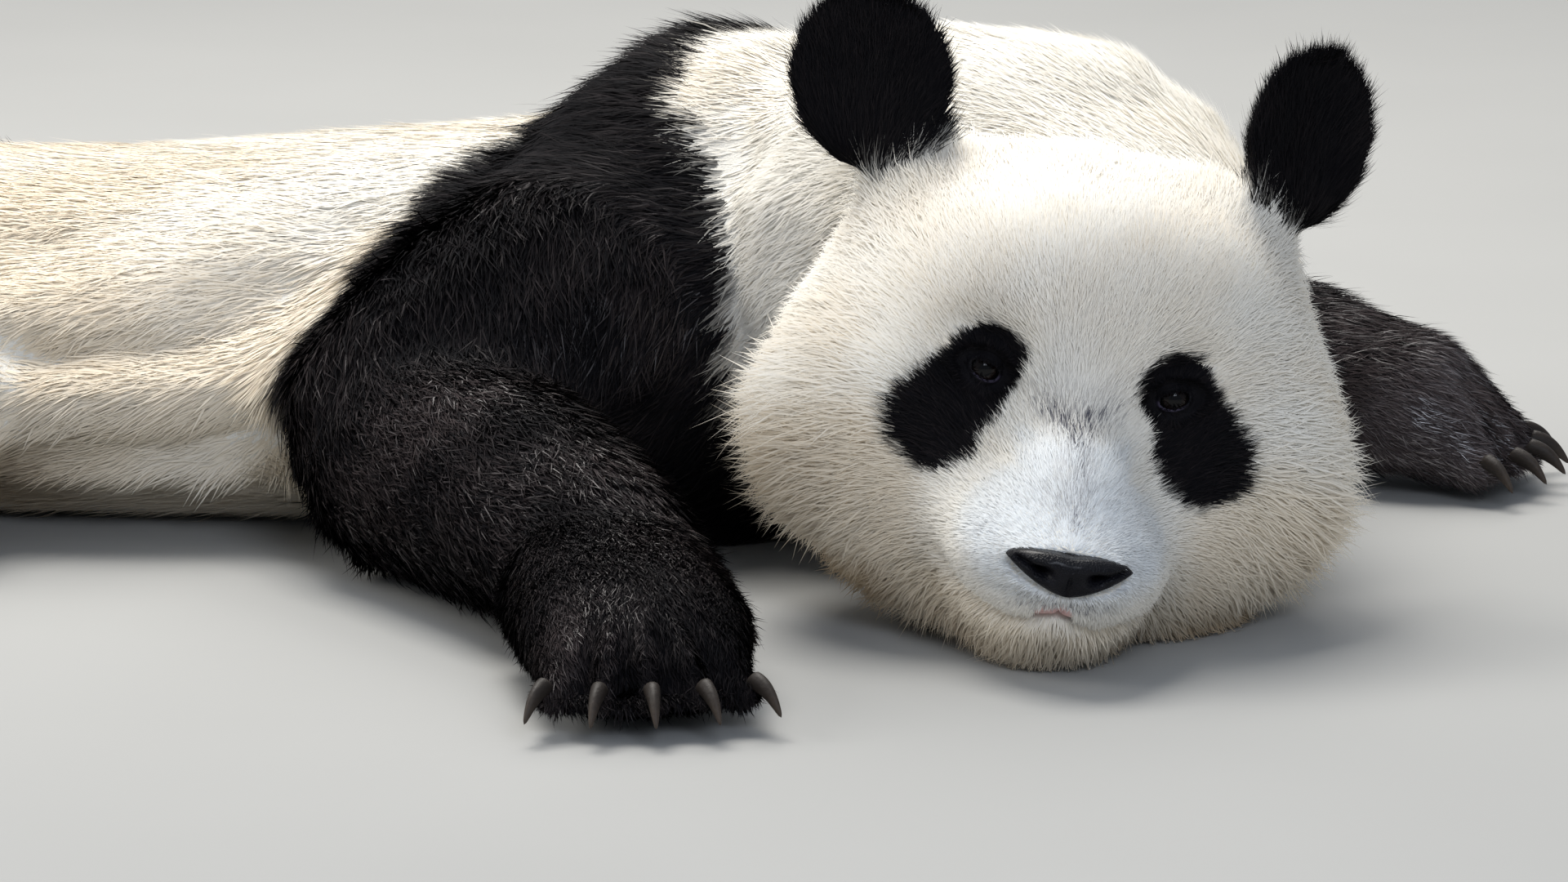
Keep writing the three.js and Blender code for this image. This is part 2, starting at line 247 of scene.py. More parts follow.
class Paint:
    """A material in the making, with one surface shader."""

    def __init__(self, name: str, **surface: "float | Colour") -> None:
        """Start the material.

        Args:
            name: The material's name.
            surface: Constant values for the shader's sockets, with spaces as underscores.
        """
        self.material = bpy.data.materials.new(name)
        self.material.use_nodes = True
        self.tree = self.material.node_tree
        self.tree.nodes.clear()
        self.shader = self.node("ShaderNodeBsdfPrincipled", {}, {})
        output = self.node("ShaderNodeOutputMaterial", {}, {})
        self.tree.links.new(self.shader.outputs["BSDF"], output.inputs["Surface"])
        self.surface(**surface)

    def surface(self, **inputs: object) -> None:
        """Feed the shader's sockets, whose names have underscores for spaces."""
        for key, value in inputs.items():
            self.feed(self.shader, key.replace("_", " "), value)

    def feed(self, node: bpy.types.Node, key: "str | int", value: object) -> None:
        """Link or set one input of a node.

        Args:
            node: The node.
            key: The input's name or number.
            value: A value or socket to link, or a constant to set.
        """
        socket = node.inputs[key]
        if isinstance(value, (Value, bpy.types.NodeSocket)):
            self.tree.links.new(value.socket if isinstance(value, Value) else value, socket)
        elif isinstance(value, tuple) and socket.type == "RGBA" and len(value) == 3:
            socket.default_value = (*value, 1.0)
        else:
            socket.default_value = value

    def node(self, kind: str, settings: dict, inputs: dict) -> bpy.types.Node:
        """Add a node.

        Args:
            kind: The node's type name.
            settings: Attributes of the node, which are set first.
            inputs: Values, colours or links by socket name or number.

        Returns:
            The new node.
        """
        node = self.tree.nodes.new(kind)
        for key, value in settings.items():
            setattr(node, key, value)
        for key, value in inputs.items():
            self.feed(node, key, value)
        return node

    def attribute(self, name: str) -> Value:
        """A number painted on the mesh."""
        return Value(self, self.node("ShaderNodeAttribute", {"attribute_name": name}, {}).outputs["Fac"])

    def noise(self, scale: float, detail: float = 2.0) -> Value:
        """Noise in the object's own space.

        Args:
            scale: Features to the metre.
            detail: Finer layers on top.

        Returns:
            Values of 0 to 1.
        """
        place = self.node("ShaderNodeTexCoord", {}, {}).outputs["Object"]
        inputs = {"Vector": place, "Scale": scale, "Detail": detail}
        return Value(self, self.node("ShaderNodeTexNoise", {}, inputs).outputs["Fac"])

    def mix(self, share: "Value | float", first: object, second: object, blend: str = "MIX") -> bpy.types.NodeSocket:
        """A colour between two colours, or two colours blended another way."""
        settings = {"data_type": "RGBA", "blend_type": blend}
        return self.node("ShaderNodeMix", settings, {"Factor": share, 6: first, 7: second}).outputs[2]

    def shade(self, colour: object, factor: Value) -> bpy.types.NodeSocket:
        """A colour made darker where the factor is low."""
        grey = self.node("ShaderNodeCombineColor", {}, {0: factor, 1: factor, 2: factor}).outputs[0]
        return self.mix(1.0, colour, grey, "MULTIPLY")

    def bump(self, height: Value, depth: float, strength: float = 1.0) -> None:
        """Relief on the surface, depth in metres."""
        inputs = {"Height": height, "Distance": depth, "Strength": strength}
        self.surface(Normal=self.node("ShaderNodeBump", {}, inputs).outputs["Normal"])

    def dress(self, piece: bpy.types.Object) -> None:
        """Make this the piece's only material."""
        piece.data.materials.clear()
        piece.data.materials.append(self.material)


@dataclass(frozen=True)
class FurFinish:
    """The hair of the coat, ivory and black by the markings painted on it, with painted shade on the face and at the
    roots and a painted sheen on the left forepaw.
    """

    # Cool white: painted cool shade on the muzzle and the bridge of the nose.
    shaded_cool_white: Colour = (0.80, 0.84, 0.87)
    ivory: Colour = (0.92, 0.89, 0.82)
    # Cream: the pale hair on belly and rump, and painted shade on the cheeks.
    cream: Colour = (0.84, 0.75, 0.61)
    # Tan: painted shade on the jaw, and the warmest hair low on the rump.
    tan_and_jaw_shade: Colour = (0.58, 0.45, 0.30)
    # Grey: the face's grey marks, and painted shade on the muzzle.
    grey: Colour = (0.10, 0.10, 0.125)
    black: Colour = (0.0042, 0.0040, 0.0052)
    # Rusty: the black hair's own brownish tint, raised on the left forepaw as painted sheen.
    rusty_and_sheen: Colour = (0.046, 0.036, 0.036)
    # Grey-brown: painted sheen on the left forepaw.
    painted_sheen_grey: Colour = (0.15, 0.13, 0.135)

    def material(self) -> Paint:
        """Build the material from the painted numbers black, warm (with painted shade on the face), ashy (with painted
        shade on the muzzle), gloss (with a painted sheen on the left forepaw), along and chance.

        Returns:
            The material.
        """
        paint = Paint("panda fur", Specular_IOR_Level=0.09, Coat_Roughness=0.30)
        along, chance = paint.attribute("along"), paint.attribute("chance")
        warm = paint.attribute("warm") + (paint.noise(14.0) - 0.5) * 0.4 + (chance - 0.5) * 0.10
        # Cool white, cream and tan by the warm number: on the face these are painted shade.
        pale = paint.mix(warm.step(-0.5, 0.0), self.shaded_cool_white, self.ivory)
        pale = paint.mix(warm.step(0.05, 0.75), pale, self.cream)
        pale = paint.mix(warm.step(0.7, 1.4), pale, self.tan_and_jaw_shade)
        # Grey from the ashy number: the grey marks, and on the muzzle painted shade.
        dusk = paint.attribute("ashy") * (0.25 + 1.75 * chance.step(0.35, 0.95)) * (0.4 + 0.8 * along)
        pale = paint.mix(dusk, pale, self.grey)
        # Painted shade at the roots: each pale tuft darkens a little towards the hide.
        pale = paint.shade(pale, 0.95 + 0.05 * along.step(0.0, 0.5) + (chance - 0.5) * 0.04)
        black, gloss = paint.attribute("black"), paint.attribute("gloss")
        # The rusty share grows with gloss; gloss above 1 on the left forepaw makes it and the grey-brown below a
        # painted sheen.
        worn = (chance * 0.6 + paint.noise(30.0) * 0.6 + 0.3 * gloss).step(0.5, 1.0) * (0.25 + 0.9 * gloss)
        dark = paint.mix(worn, self.black, self.rusty_and_sheen)
        dark = paint.mix(gloss.step(1.2, 2.7) * (0.08 + 0.80 * chance.step(0.3, 1.0)), dark, self.painted_sheen_grey)
        shine = gloss * chance.step(0.70, 0.92) * black
        paint.surface(Base_Color=paint.mix(black, pale, dark), Roughness=0.75 + 0.1 * chance, Coat_Weight=shine)
        return paint


@dataclass(frozen=True)
class SkinFinish:
    """The hide under the coat, and the bare skin of lids and lips."""

    pale: Colour = (0.88, 0.85, 0.78)
    dark: Colour = (0.005, 0.0045, 0.006)
    lid: Colour = (0.0045, 0.004, 0.006)
    rim: Colour = (0.060, 0.050, 0.082)
    lip: Colour = (0.62, 0.40, 0.38)
    seam: Colour = (0.035, 0.024, 0.022)

    def material(self) -> Paint:
        """Build the material from the painted numbers black, seam, lid, rim and lip.

        Returns:
            The material.
        """
        paint = Paint("panda hide", Specular_IOR_Level=0.16)
        under = paint.mix(paint.attribute("black"), self.pale, self.dark)
        under = paint.shade(under, 0.88 + 0.2 * paint.noise(160.0, 4.0))
        for part in ("seam", "lid", "rim", "lip"):
            under = paint.mix(paint.attribute(part), under, getattr(self, part))
        paint.surface(Base_Color=under, Roughness=0.85 - 0.35 * paint.attribute("lid"))
        paint.bump(paint.noise(900.0, 5.0), 0.0006)
        return paint


@dataclass(frozen=True)
class EyeFinish:
    """A nearly black brown eye under a wet cornea."""

    pupil: Colour = (0.0015, 0.0015, 0.002)
    iris: Colour = (0.006, 0.0035, 0.003)
    rim: Colour = (0.002, 0.002, 0.002)

    def material(self) -> Paint:
        """Build the material from the painted number gaze, 0 at the pupil's middle and 1 at the eye's side.

        Returns:
            The material.
        """
        paint = Paint("panda eye", Roughness=0.04, Specular_IOR_Level=0.20)
        gaze = paint.attribute("gaze")
        iris = paint.shade(self.iris, 0.7 + 0.6 * paint.noise(700.0, 3.0))
        colour = paint.mix(gaze.step(0.16, 0.20), self.pupil, iris)
        paint.surface(Base_Color=paint.mix(gaze.step(0.32, 0.42), colour, self.rim))
        return paint


@dataclass(frozen=True)
class NoseFinish:
    """The moist, finely pebbled nose pad."""

    black: Colour = (0.004, 0.004, 0.006)
    worn: Colour = (0.007, 0.007, 0.010)

    def material(self) -> Paint:
        """Build the material from the painted number ridge, 1 along the pad's upper edge.

        Returns:
            The material.
        """
        paint = Paint("nose leather", Specular_IOR_Level=0.12, Coat_Roughness=0.18)
        place = paint.node("ShaderNodeTexCoord", {}, {}).outputs["Object"]
        pebbles = paint.node("ShaderNodeTexVoronoi", {"feature": "F1"}, {"Vector": place, "Scale": 850.0})
        patchy = paint.noise(120.0, 3.0)
        paint.surface(
            Base_Color=paint.mix(patchy.step(0.4, 0.8), self.black, self.worn),
            Roughness=0.32 + 0.2 * patchy,
            Coat_Weight=0.10 * patchy + 0.35 * paint.attribute("ridge"),
        )
        paint.bump(Value(paint, pebbles.outputs["Distance"]), 0.0007, 0.7)
        return paint


@dataclass(frozen=True)
class ClawFinish:
    """Horn, dark at the root and paler at the tip."""

    root: Colour = (0.022, 0.017, 0.014)
    tip: Colour = (0.050, 0.037, 0.028)

    def material(self) -> Paint:
        """Build the material from the painted number along, 0 at the root and 1 at the tip.

        Returns:
            The material.
        """
        paint = Paint("claw horn", Specular_IOR_Level=0.25)
        streak = paint.noise(420.0, 3.0)
        share = (paint.attribute("along") + (streak - 0.5) * 0.5).step(0.35, 1.0)
        paint.surface(Base_Color=paint.mix(share, self.root, self.tip), Roughness=0.42 + 0.25 * streak)
        paint.bump(streak, 0.0003)
        return paint


@dataclass(frozen=True)
class FloorFinish:
    """A plain pale floor."""

    colour: Colour = (0.38, 0.38, 0.37)

    def material(self) -> Paint:
        """Build the material.

        Returns:
            The material.
        """
        paint = Paint("pale floor", Roughness=0.9, Specular_IOR_Level=0.2)
        paint.surface(Base_Color=paint.shade(self.colour, 0.96 + 0.08 * paint.noise(3.0)))
        return paint


# ---------------------------------------------------------------- meshes


def add_object(name: str, data: bpy.types.ID) -> bpy.types.Object:
    """An object in the scene.

    Args:
        name: Its name.
        data: Its mesh, light or camera.

    Returns:
        The object.
    """
    added = bpy.data.objects.new(name, data)
    bpy.context.scene.collection.objects.link(added)
    return added


def new_piece(name: str, points: Array, faces: list) -> bpy.types.Object:
    """A smooth mesh object that rides on the body.

    Args:
        name: The piece's name.
        points: Its corners in metres.
        faces: Its faces as lists of corner numbers.

    Returns:
        The object.
    """
    mesh = bpy.data.meshes.new(name)
    mesh.from_pydata([tuple(p) for p in np.asarray(points, float)], [], [list(map(int, f)) for f in faces])
    mesh.update()
    mesh.shade_smooth()
    piece = add_object(name, mesh)
    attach(piece, BODY)
    return piece


def paint_field(mesh: bpy.types.Mesh, name: str, values: Array) -> None:
    """Store a field of the surface.

    Args:
        mesh: The mesh.
        name: The field's name.
        values: A number or a vector for each corner.
    """
    whole, vector = values.dtype.kind == "i", values.ndim == 2
    layer = mesh.attributes.new(name, "INT" if whole else "FLOAT_VECTOR" if vector else "FLOAT", "POINT")
    values = values.astype(np.int32 if whole else np.float32)
    layer.data.foreach_set("vector" if vector else "value", values.ravel())


def read(items: bpy.types.bpy_prop_collection, key: str, width: int = 1, kind: type = float) -> Array:
    """One property of many elements of a mesh.

    Args:
        items: The elements.
        key: The property's name.
        width: How many numbers it has.
        kind: The type of these numbers.

    Returns:
        A row for each element, or a flat array of single numbers.
    """
    values = np.empty(len(items) * width, kind)
    items.foreach_get(key, values)
    return values.reshape(-1, width) if width > 1 else values


def corners(mesh: bpy.types.Mesh) -> Array:
    """The mesh's points."""
    return read(mesh.vertices, "co", 3)


def vertex_normals(mesh: bpy.types.Mesh) -> Array:
    """The mesh's normals at its points."""
    return read(mesh.vertex_normals, "vector", 3)


class Grain:
    """The mesh's network of edges, along which numbers are spread and shapes are smoothed."""

    def __init__(self, mesh: bpy.types.Mesh) -> None:
        """Read the edges.

        Args:
            mesh: The mesh.
        """
        pairs = read(mesh.edges, "vertices", 2, int)
        self.start = np.concatenate([pairs[:, 0], pairs[:, 1]])
        self.end = np.concatenate([pairs[:, 1], pairs[:, 0]])
        self.size = len(mesh.vertices)
        self.degree = np.maximum(np.bincount(self.start, minlength=self.size), 1)

    def neighbours(self, values: Array) -> Array:
        """The mean of each point's neighbours.

        Args:
            values: A number or a vector for each point.

        Returns:
            The means, shaped as the values are.
        """
        columns = values.reshape(self.size, -1)
        sums = [np.bincount(self.start, columns[self.end, k], self.size) for k in range(columns.shape[1])]
        return (np.stack(sums, axis=1) / self.degree[:, None]).reshape(values.shape)

    def spread(self, values: Array, rounds: int, rate: "float | Array" = 0.5) -> Array:
        """Values evened out with their neighbours.

        Args:
            values: A number or a vector for each point.
            rounds: How often.
            rate: How far each round goes towards the neighbours' mean.

        Returns:
            The evened values.
        """
        for _ in range(rounds):
            values = values + (self.neighbours(values) - values) * rate
        return values


# ---------------------------------------------------------------- the body


class Region(Enum):
    """The parts of the body that the coat tells apart: coat depth in millimetres, and whether it is black."""

    HEAD = ("head", 10.0, False)
    EAR = ("ear", 5.0, True)
    NECK = ("neck", 11.0, False)
    SHOULDERS = ("shoulders", 12.5, False)
    TRUNK = ("trunk", 13.0, False)
    TAIL = ("tail", 12.0, False)
    UPPER_ARM = ("upper_arm", 12.5, True)
    FOREARM = ("forearm", 11.0, True)
    FOREPAW = ("forepaw", 7.0, True)
    THIGH = ("thigh", 12.0, True)
    SHANK = ("shank", 10.0, True)
    HIND_FOOT = ("hind_foot", 7.0, True)

    def __init__(self, stem: str, depth: float, black: bool) -> None:
        """Keep the region's values.

        Args:
            stem: How its nodes' names start.
            depth: The coat's depth in millimetres.
            black: Whether its coat is black.
        """
        self.stem = stem
        self.depth = depth
        self.black = black

    @staticmethod
    def of(node: str) -> "Region | None":
        """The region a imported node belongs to, or None for eyes, nose and claws."""
        return next((region for region in Region if node.startswith(region.stem)), None)


REGIONS = list(Region)
ENDS = {"fore": "forepaw", "hind": "hind_foot"}
SHINE = {
    Region.SHOULDERS: 0.10, Region.UPPER_ARM: 0.55, Region.FOREARM: 1.0, Region.FOREPAW: 1.0,
    Region.THIGH: 0.6, Region.SHANK: 0.8, Region.HIND_FOOT: 0.8,
}
FEET = {f"{end}_{side}": f"{stem}_{side}" for end, stem in ENDS.items() for side in SIDES}


class Body:
    """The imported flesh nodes, and which of them is nearest to a point."""

    def __init__(self) -> None:
        """Gather the nodes' faces."""
        self.nodes = [name for name in sorted(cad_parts) if Region.of(name)]
        polygons, vertices, self.owners, offset = [], [], [], 0
        for number, name in enumerate(self.nodes):
            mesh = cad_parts[name].data
            vertices += [v.co.copy() for v in mesh.vertices]
            polygons += [[v + offset for v in p.vertices] for p in mesh.polygons]
            self.owners += [number] * len(mesh.polygons)
            offset += len(mesh.vertices)
        self.tree = BVHTree.FromPolygons(vertices, polygons)
        self.region_of = np.array([REGIONS.index(Region.of(name)) for name in self.nodes])

    def nearest(self, points: Array) -> Array:
        """The number of the node nearest to each point."""
        return np.array([self.owners[self.tree.find_nearest(Vector(p))[2]] for p in points])

    def on(self, node: Array, *names: str) -> Array:
        """Whether each node number is that of one of the named nodes."""
        return np.isin(node, [self.nodes.index(name) for name in names])

    def within(self, node: Array, *regions: Region) -> Array:
        """Whether each node number belongs to one of the regions."""
        return np.isin(self.region_of[node], [REGIONS.index(region) for region in regions])

    def measure(self, node: Array, of: Callable[[Region], float]) -> Array:
        """A number of the region that each node number belongs to."""
        return np.array([float(of(region)) for region in REGIONS])[self.region_of[node]]


class Surface(NamedTuple):
    """Corners of the hide: places in metres, which way it faces there, their node numbers and their neighbours."""

    points: Array
    normals: Array
    node: Array
    grain: Grain


@dataclass(frozen=True)
class Markings:
    """Where the coat is black, warm or ashy, with painted shade on the face and a painted sheen on the left forepaw.

    Places and radii on the body and the band's drop are in metres, other lengths in millimetres.
    """

    head: Axes
    body: Body
    eye_apart: float = 53.0
    patch_top: tuple = (3.0, 8.0, 20.0)
    patch_foot: tuple = (-21.0, -30.0, 27.0)
    yoke_centre: tuple = (0.107, 0.064, 0.300)
    yoke_axis: tuple = (-0.896, 0.444, 0.0)
    yoke_ahead: tuple = (28.0, 126.0)
    yoke_behind: tuple = (50.0, 92.0)
    yoke_drop: float = 0.130
    haunch: float = 0.19
    knee_inset: float = 0.05
    knee_height: float = 0.08
    crown: float = 95.0
    most_ashy: float = 0.85

    def eye_patch(self, local: Array) -> Array:
        """The patch at each eye: a tapered bar that leans outward below it.

        Args:
            local: Points in the head's frame.

        Returns:
            How deep inside a patch they lie.
        """
        place = np.stack([self.eye_apart - np.abs(local[:, 0]), local[:, 2]], axis=1)
        start, end = np.array(self.patch_top), np.array(self.patch_foot)
        bar = end[:2] - start[:2]
        share = np.clip((place - start[:2]) @ bar / (bar @ bar), 0.0, 1.0)
        away = np.linalg.norm(place - start[:2] - share[:, None] * bar, axis=1)
        return np.where(local[:, 1] < 70.0, lerp(start[2], end[2], share) - away, -FAR)

    def yoke(self, points: Array) -> Array:
        """The black band over the shoulders.

        Args:
            points: Points in metres.

        Returns:
            How deep inside the band they lie, along the spine.
        """
        along = (points - self.yoke_centre) @ np.array(self.yoke_axis) / MM
        down = np.clip((self.yoke_centre[2] - points[:, 2]) / self.yoke_drop, 0.0, 1.0) ** 0.8
        return np.minimum(lerp(*self.yoke_ahead, down) + along, lerp(*self.yoke_behind, down) - along)

    def black(self, points: Array, grain: Grain) -> Array:
        """How black the coat is.

        Args:
            points: Places in metres that belong to the corners of a mesh.
            grain: The edges of that mesh.

        Returns:
            0 for pale hair to 1 for black hair.
        """
        node = self.body.nearest(points)
        black = self.body.measure(node, lambda region: region.black)
        torso = self.body.within(node, Region.NECK, Region.SHOULDERS, Region.TRUNK)
        black = np.where(torso, self.yoke(points) > 0, black)
        for side in SIDES:
            low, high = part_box(f"shank_{side}")
            knee = np.array([high.x - self.knee_inset, (low.y + high.y) / 2, self.knee_height])
            far = distance(points, knee) > self.haunch
            black = np.where(self.body.on(node, f"thigh_{side}") & far, 0.0, black)
        black = grain.spread(black, 6)
        black = np.where(self.on_crown(points, node), 0.0, black)
        ragged = 0.12 * Ripple(0.022, SEED)(points) + 0.08 * Ripple(0.008, SEED + 1)(points)
        black = ease(0.40, 0.60, black + ragged)
        edge = 1.8 * Ripple(0.03, SEED + 2)(points) + 1.2 * Ripple(0.007, SEED + 3)(points)
        patch = ease(-1.5, 1.5, self.eye_patch(self.head.local(points)) + edge)
        return np.maximum(black, self.body.within(node, Region.HEAD) * patch)

    def on_crown(self, points: Array, node: Array) -> Array:
        """Whether points lie on the white hair about the ears."""
        return self.body.within(node, Region.HEAD, Region.NECK) & (from_ears(points) < self.crown)

    def warm(self, points: Array, node: Array) -> Array:
        """How cream the pale hair is, with painted shade on the face: most on belly, jaw and rump, less than none on
        the muzzle.

        Args:
            points: Points in metres.
            node: Their node numbers.

        Returns:
            Below 0 for cool white, 0 for ivory and 1 for cream; the cool white on muzzle and bridge is painted cool
            shade, and the cream and tan on cheeks and jaw are painted shade.
        """
        local = self.head.local(points)
        x, y, z = local.T
        muzzle = fall(0.75, 1.15, egg(local, (0, -55, -76), (64, 75, 46)))
        bridge = fall(26.0, 44.0, np.abs(x)) * ease(-110.0, -70.0, z) * fall(-32.0, -8.0, z)
        cheek = ease(20.0, 75.0, -z) * ease(55.0, 95.0, np.abs(x))
        jaw = ease(100.0, 140.0, -z)
        # Cheeks and jaw: painted shade, cream to tan where the head's underside lies in shade.
        face = 0.26 + 0.50 * cheek + 0.75 * jaw + 0.10 * Ripple(0.05, SEED + 5)(points)
        # Muzzle and bridge: painted cool shade, turned cool white.
        face = lerp(face, -0.35, np.maximum(muzzle, bridge * (y < 0)) * (1 - 0.8 * jaw))
        low = fall(0.02, 0.16, points[:, 2])
        rear = 0.34 * ease(-0.08, 0.30, -points[:, 0])
        body = 0.24 + rear + 0.40 * low + 0.22 * Ripple(0.12, SEED + 4)(points)
        body = np.where(self.body.within(node, Region.NECK), 0.5 * body, body)
        return np.where(self.body.within(node, Region.HEAD), face, body)

    def gloss(self, at: Surface) -> Array:
        """How much the black hair shines: most on forearms and paws, hardly on the yoke, not at all on the head.

        Args:
            at: Corners of the hide.

        Returns:
            0 for dull to 1 for glossy, and up to 2.8 on the left forepaw, where the excess is a painted sunlit sheen.
        """
        even = at.grain.spread(self.body.measure(at.node, lambda region: SHINE.get(region, 0.0)), 20)
        patchy = np.clip(0.60 + 0.55 * Ripple(0.09, SEED + 12)(at.points), 0.05, 1.0)
        # Painted sheen: the left forepaw's black hair is lightened to grey-brown as if lit by the sun.
        painted_sheen_paw = at.grain.spread(self.body.on(at.node, "forepaw_left").astype(float), 20)
        return even * (patchy + 1.8 * painted_sheen_paw)

    def ashy(self, points: Array, node: Array) -> Array:
        """How grey the face is: a V between the eyes, a streak down the bridge, smudges under the nose, and painted
        shade over the muzzle.

        Args:
            points: Points in metres.
            node: Their node numbers.

        Returns:
            0 for clean to 1 for grey.
        """
        local = self.head.local(points)
        x, z = np.abs(local[:, 0]), local[:, 2]
        mottle = 0.8 + 0.6 * Ripple(0.006, SEED + 6)(points)
        chevron = bell(z + 20.5 - 0.38 * x, 6.5) * (1 - 0.45 * ease(6.0, 16.0, x)) * fall(20.0, 31.0, x)
        veil = bell(z + 14.0 - 0.55 * x, 14.0) * fall(14.0, 36.0, x)
        streak = bell(x, 7.0) * ease(-70.0, -58.0, z) * fall(-32.0, -20.0, z)
        smudge = bell(x - 13.0, 15.0) * bell(z + 105.0, 4.5) * (local[:, 1] < -50)
        # Painted shade: the muzzle's white is toned down towards grey.
        muzzle = fall(0.7, 1.2, egg(local, (0, -70, -78), (58, 60, 44)))
        shade = 0.80 * chevron + 0.26 * veil + 0.34 * streak + 0.36 * smudge + 0.20 * muzzle
        return self.body.within(node, Region.HEAD) * (local[:, 1] < 0) * np.clip(shade * mottle, 0.0, self.most_ashy)


# ---------------------------------------------------------------- face and feet


@dataclass(frozen=True)
class Face:
    """The lids and the mouth, in millimetres of the head's frame."""

    eye_apart: float = 53.0
    eye_radius: float = 11.5
    slant: float = 22.0
    slit: tuple = (1.20, 0.78, 0.66)
    socket: float = 11.4
    opening: float = 6.6
    behind_ball: float = -3.5
    nose_front: float = -107.5
    nose_height: float = -83.0
    lip_middle: float = -3.0
    lid_edge: tuple = ((6.6, 7.1, 8.2, 10.0), (0.6, 1.1, 1.8, 1.5))
    lip_line: tuple = ((0, 8, 22, 36, 48, 58, 66), (-112.5, -114.5, -117.5, -114, -108.5, -99.5, -90))

    def ring(self, local: Array) -> Array:
        """How far points lie from the middle of the nearer eye's opening.

        Args:
            local: Points in the head's frame.

        Returns:
            Millimetres, stretched so that the lids' edge is at 7 all round.
        """
        out, up = np.abs(local[:, 0]) - self.eye_apart, local[:, 2]
        turn = math.radians(self.slant)
        along, across = out * math.cos(turn) + up * math.sin(turn), up * math.cos(turn) - out * math.sin(turn)
        wide, above, below = self.slit
        ring = np.hypot(along / wide, across / np.where(across > 0, above, below))
        return np.where(local[:, 1] < 30.0, ring, FAR)

    def mouth_height(self, x: Array) -> Array:
        """The height of the line between the lips at x."""
        return np.interp(np.abs(x), *self.lip_line)

    def lids(self, local: Array) -> Array:
        """Press in the sockets and raise the lids.

        Args:
            local: Points in the head's frame.

        Returns:
            The points' new y.
        """
        x, y, z = local.T
        ring = self.ring(local)
        away = np.hypot(np.abs(x) - self.eye_apart, z)
        ball = -np.sqrt(self.eye_radius**2 - np.minimum(away, 10.5) ** 2)
        above = ease(-3.0, 3.0, z)
        lid = ball - np.interp(ring, *self.lid_edge)
        lid = lid - 1.1 * above * bell(ring - 8.8, 1.8)
        lid = lerp(lid, -self.socket, ease(9.0, 15.0, ring))
        lid = lid + 0.9 * bell(ring - 12.5, 1.3) * above
        return lerp(y, np.where(ring < self.opening, self.behind_ball, lid), fall(14.0, 24.0, ring))

    def sculpt(self, local: Array, normals: Array) -> tuple[Array, dict[str, Array]]:
        """Press in the sockets, lids and mouth.

        Args:
            local: Points in the head's frame.
            normals: Their normals in the head's frame.

        Returns:
            The moved points, and how much of each is lid or lip.
        """
        x, _, z = local.T
        y, ring = self.lids(local), self.ring(local)
        spot = z - self.nose_height
        under = fall(0.80, 1.05, np.hypot(x / 34.0, (spot + 3.5) / 12.0))
        seat = self.nose_front + 0.0085 * x * x + 0.18 * spot + 9.0
        y = np.where(local[:, 1] < -60.0, lerp(y, np.maximum(y, seat), under), y)
        gap = z - self.mouth_height(x)
        front = fall(-34.0, -18.0, y) * fall(46.0, 66.0, np.abs(x))
        groove = 3.6 * bell(gap, 1.9)
        lips = 1.8 * bell(gap - 6.0, 4.5) + 1.0 * bell(gap + 6.0, 4.0)
        cleft = 2.2 * bell(x, 1.6) * ease(-2.0, 3.0, gap) * fall(12.0, 18.0, gap)
        moved = np.stack([x, y, z], axis=1) + normals * ((lips - groove - cleft) * front)[:, None]
        pink = np.exp(-(((gap - 4.4) / 5.4) ** 4)) * fall(7.0, 13.0, np.abs(x - self.lip_middle))
        marks = {
            "lid": fall(8.4, 9.8, ring),
            "rim": bell(ring - 7.6, 0.7) * fall(-4.0, -1.0, z),
            "lip": pink * front,
            "seam": bell(gap, 1.7) * front,
        }
        return moved, marks

    def fine_area(self, local: Array) -> Array:
        """The area about the eyes, the nose and the mouth.

        Args:
            local: Points in the head's frame.

        Returns:
            Which of them are in it.
        """
        x, y, z = local.T
        mouth = (np.abs(x) < 70) & (z < -60) & (z > -148) & (y < -20)
        return (self.ring(local) < 34) | mouth

    def finest_area(self, local: Array) -> Array:
        """The area at the lids and between the lips.

        Args:
            local: Points in the head's frame.

        Returns:
            Which of them are in it.
        """
        x, y, z = local.T
        lips = (np.abs(z - self.mouth_height(x)) < 9) & (np.abs(x) < 60) & (y < -25)
        return (self.ring(local) < 19) | lips


@dataclass(frozen=True)
class Toes:
    """The toes of one foot: furrows that run back from between its claws. Millimetres."""

    foot: str
    furrow: float = 10.5
    half_width: float = 7.5
    reach: float = 78.0

    def claws(self) -> Array:
        """The middles of the foot's claws."""
        return np.array([middle(f"claw_{self.foot}_{number}") for number in range(1, 6)])

    def near_claws(self, points: Array) -> Array:
        """The distance from each point to the nearest claw."""
        return np.min([distance(points, claw) for claw in self.claws()], axis=0) / MM

    def depth(self, points: Array, normals: Array) -> Array:
        """How deep the furrows between the toes are.

        Args:
            points: Points in metres.
            normals: Which way the hide faces there.

        Returns:
            Depths in millimetres.
        """
        claws, heel = self.claws(), middle(FEET[self.foot])
        deepest = np.zeros(len(points))
        for first, second in zip(claws[:-1], claws[1:]):
            start = (first + second) / 2
            back = (heel - start) * [1, 1, 0]
            back = back / np.linalg.norm(back)
            offset = (points - start)[:, :2] / MM
            along = offset @ back[:2]
            across = offset @ [-back[1], back[0]]
            line = bell(across, self.half_width) * ease(-25.0, -5.0, along)
            deepest = np.maximum(deepest, line * fall(0.35 * self.reach, self.reach, along))
        return self.furrow * deepest * ease(-0.5, 0.2, normals[:, 2])


def from_claws(points: Array) -> Array:
    """The distance to the nearest claw of any foot, in millimetres."""
    return np.min([Toes(foot).near_claws(points) for foot in FEET], axis=0)


def furrows(points: Array, normals: Array) -> Array:
    """How deep the furrows of all toes are, in millimetres."""
    return np.max([Toes(foot).depth(points, normals) for foot in FEET], axis=0)


# ---------------------------------------------------------------- the skin


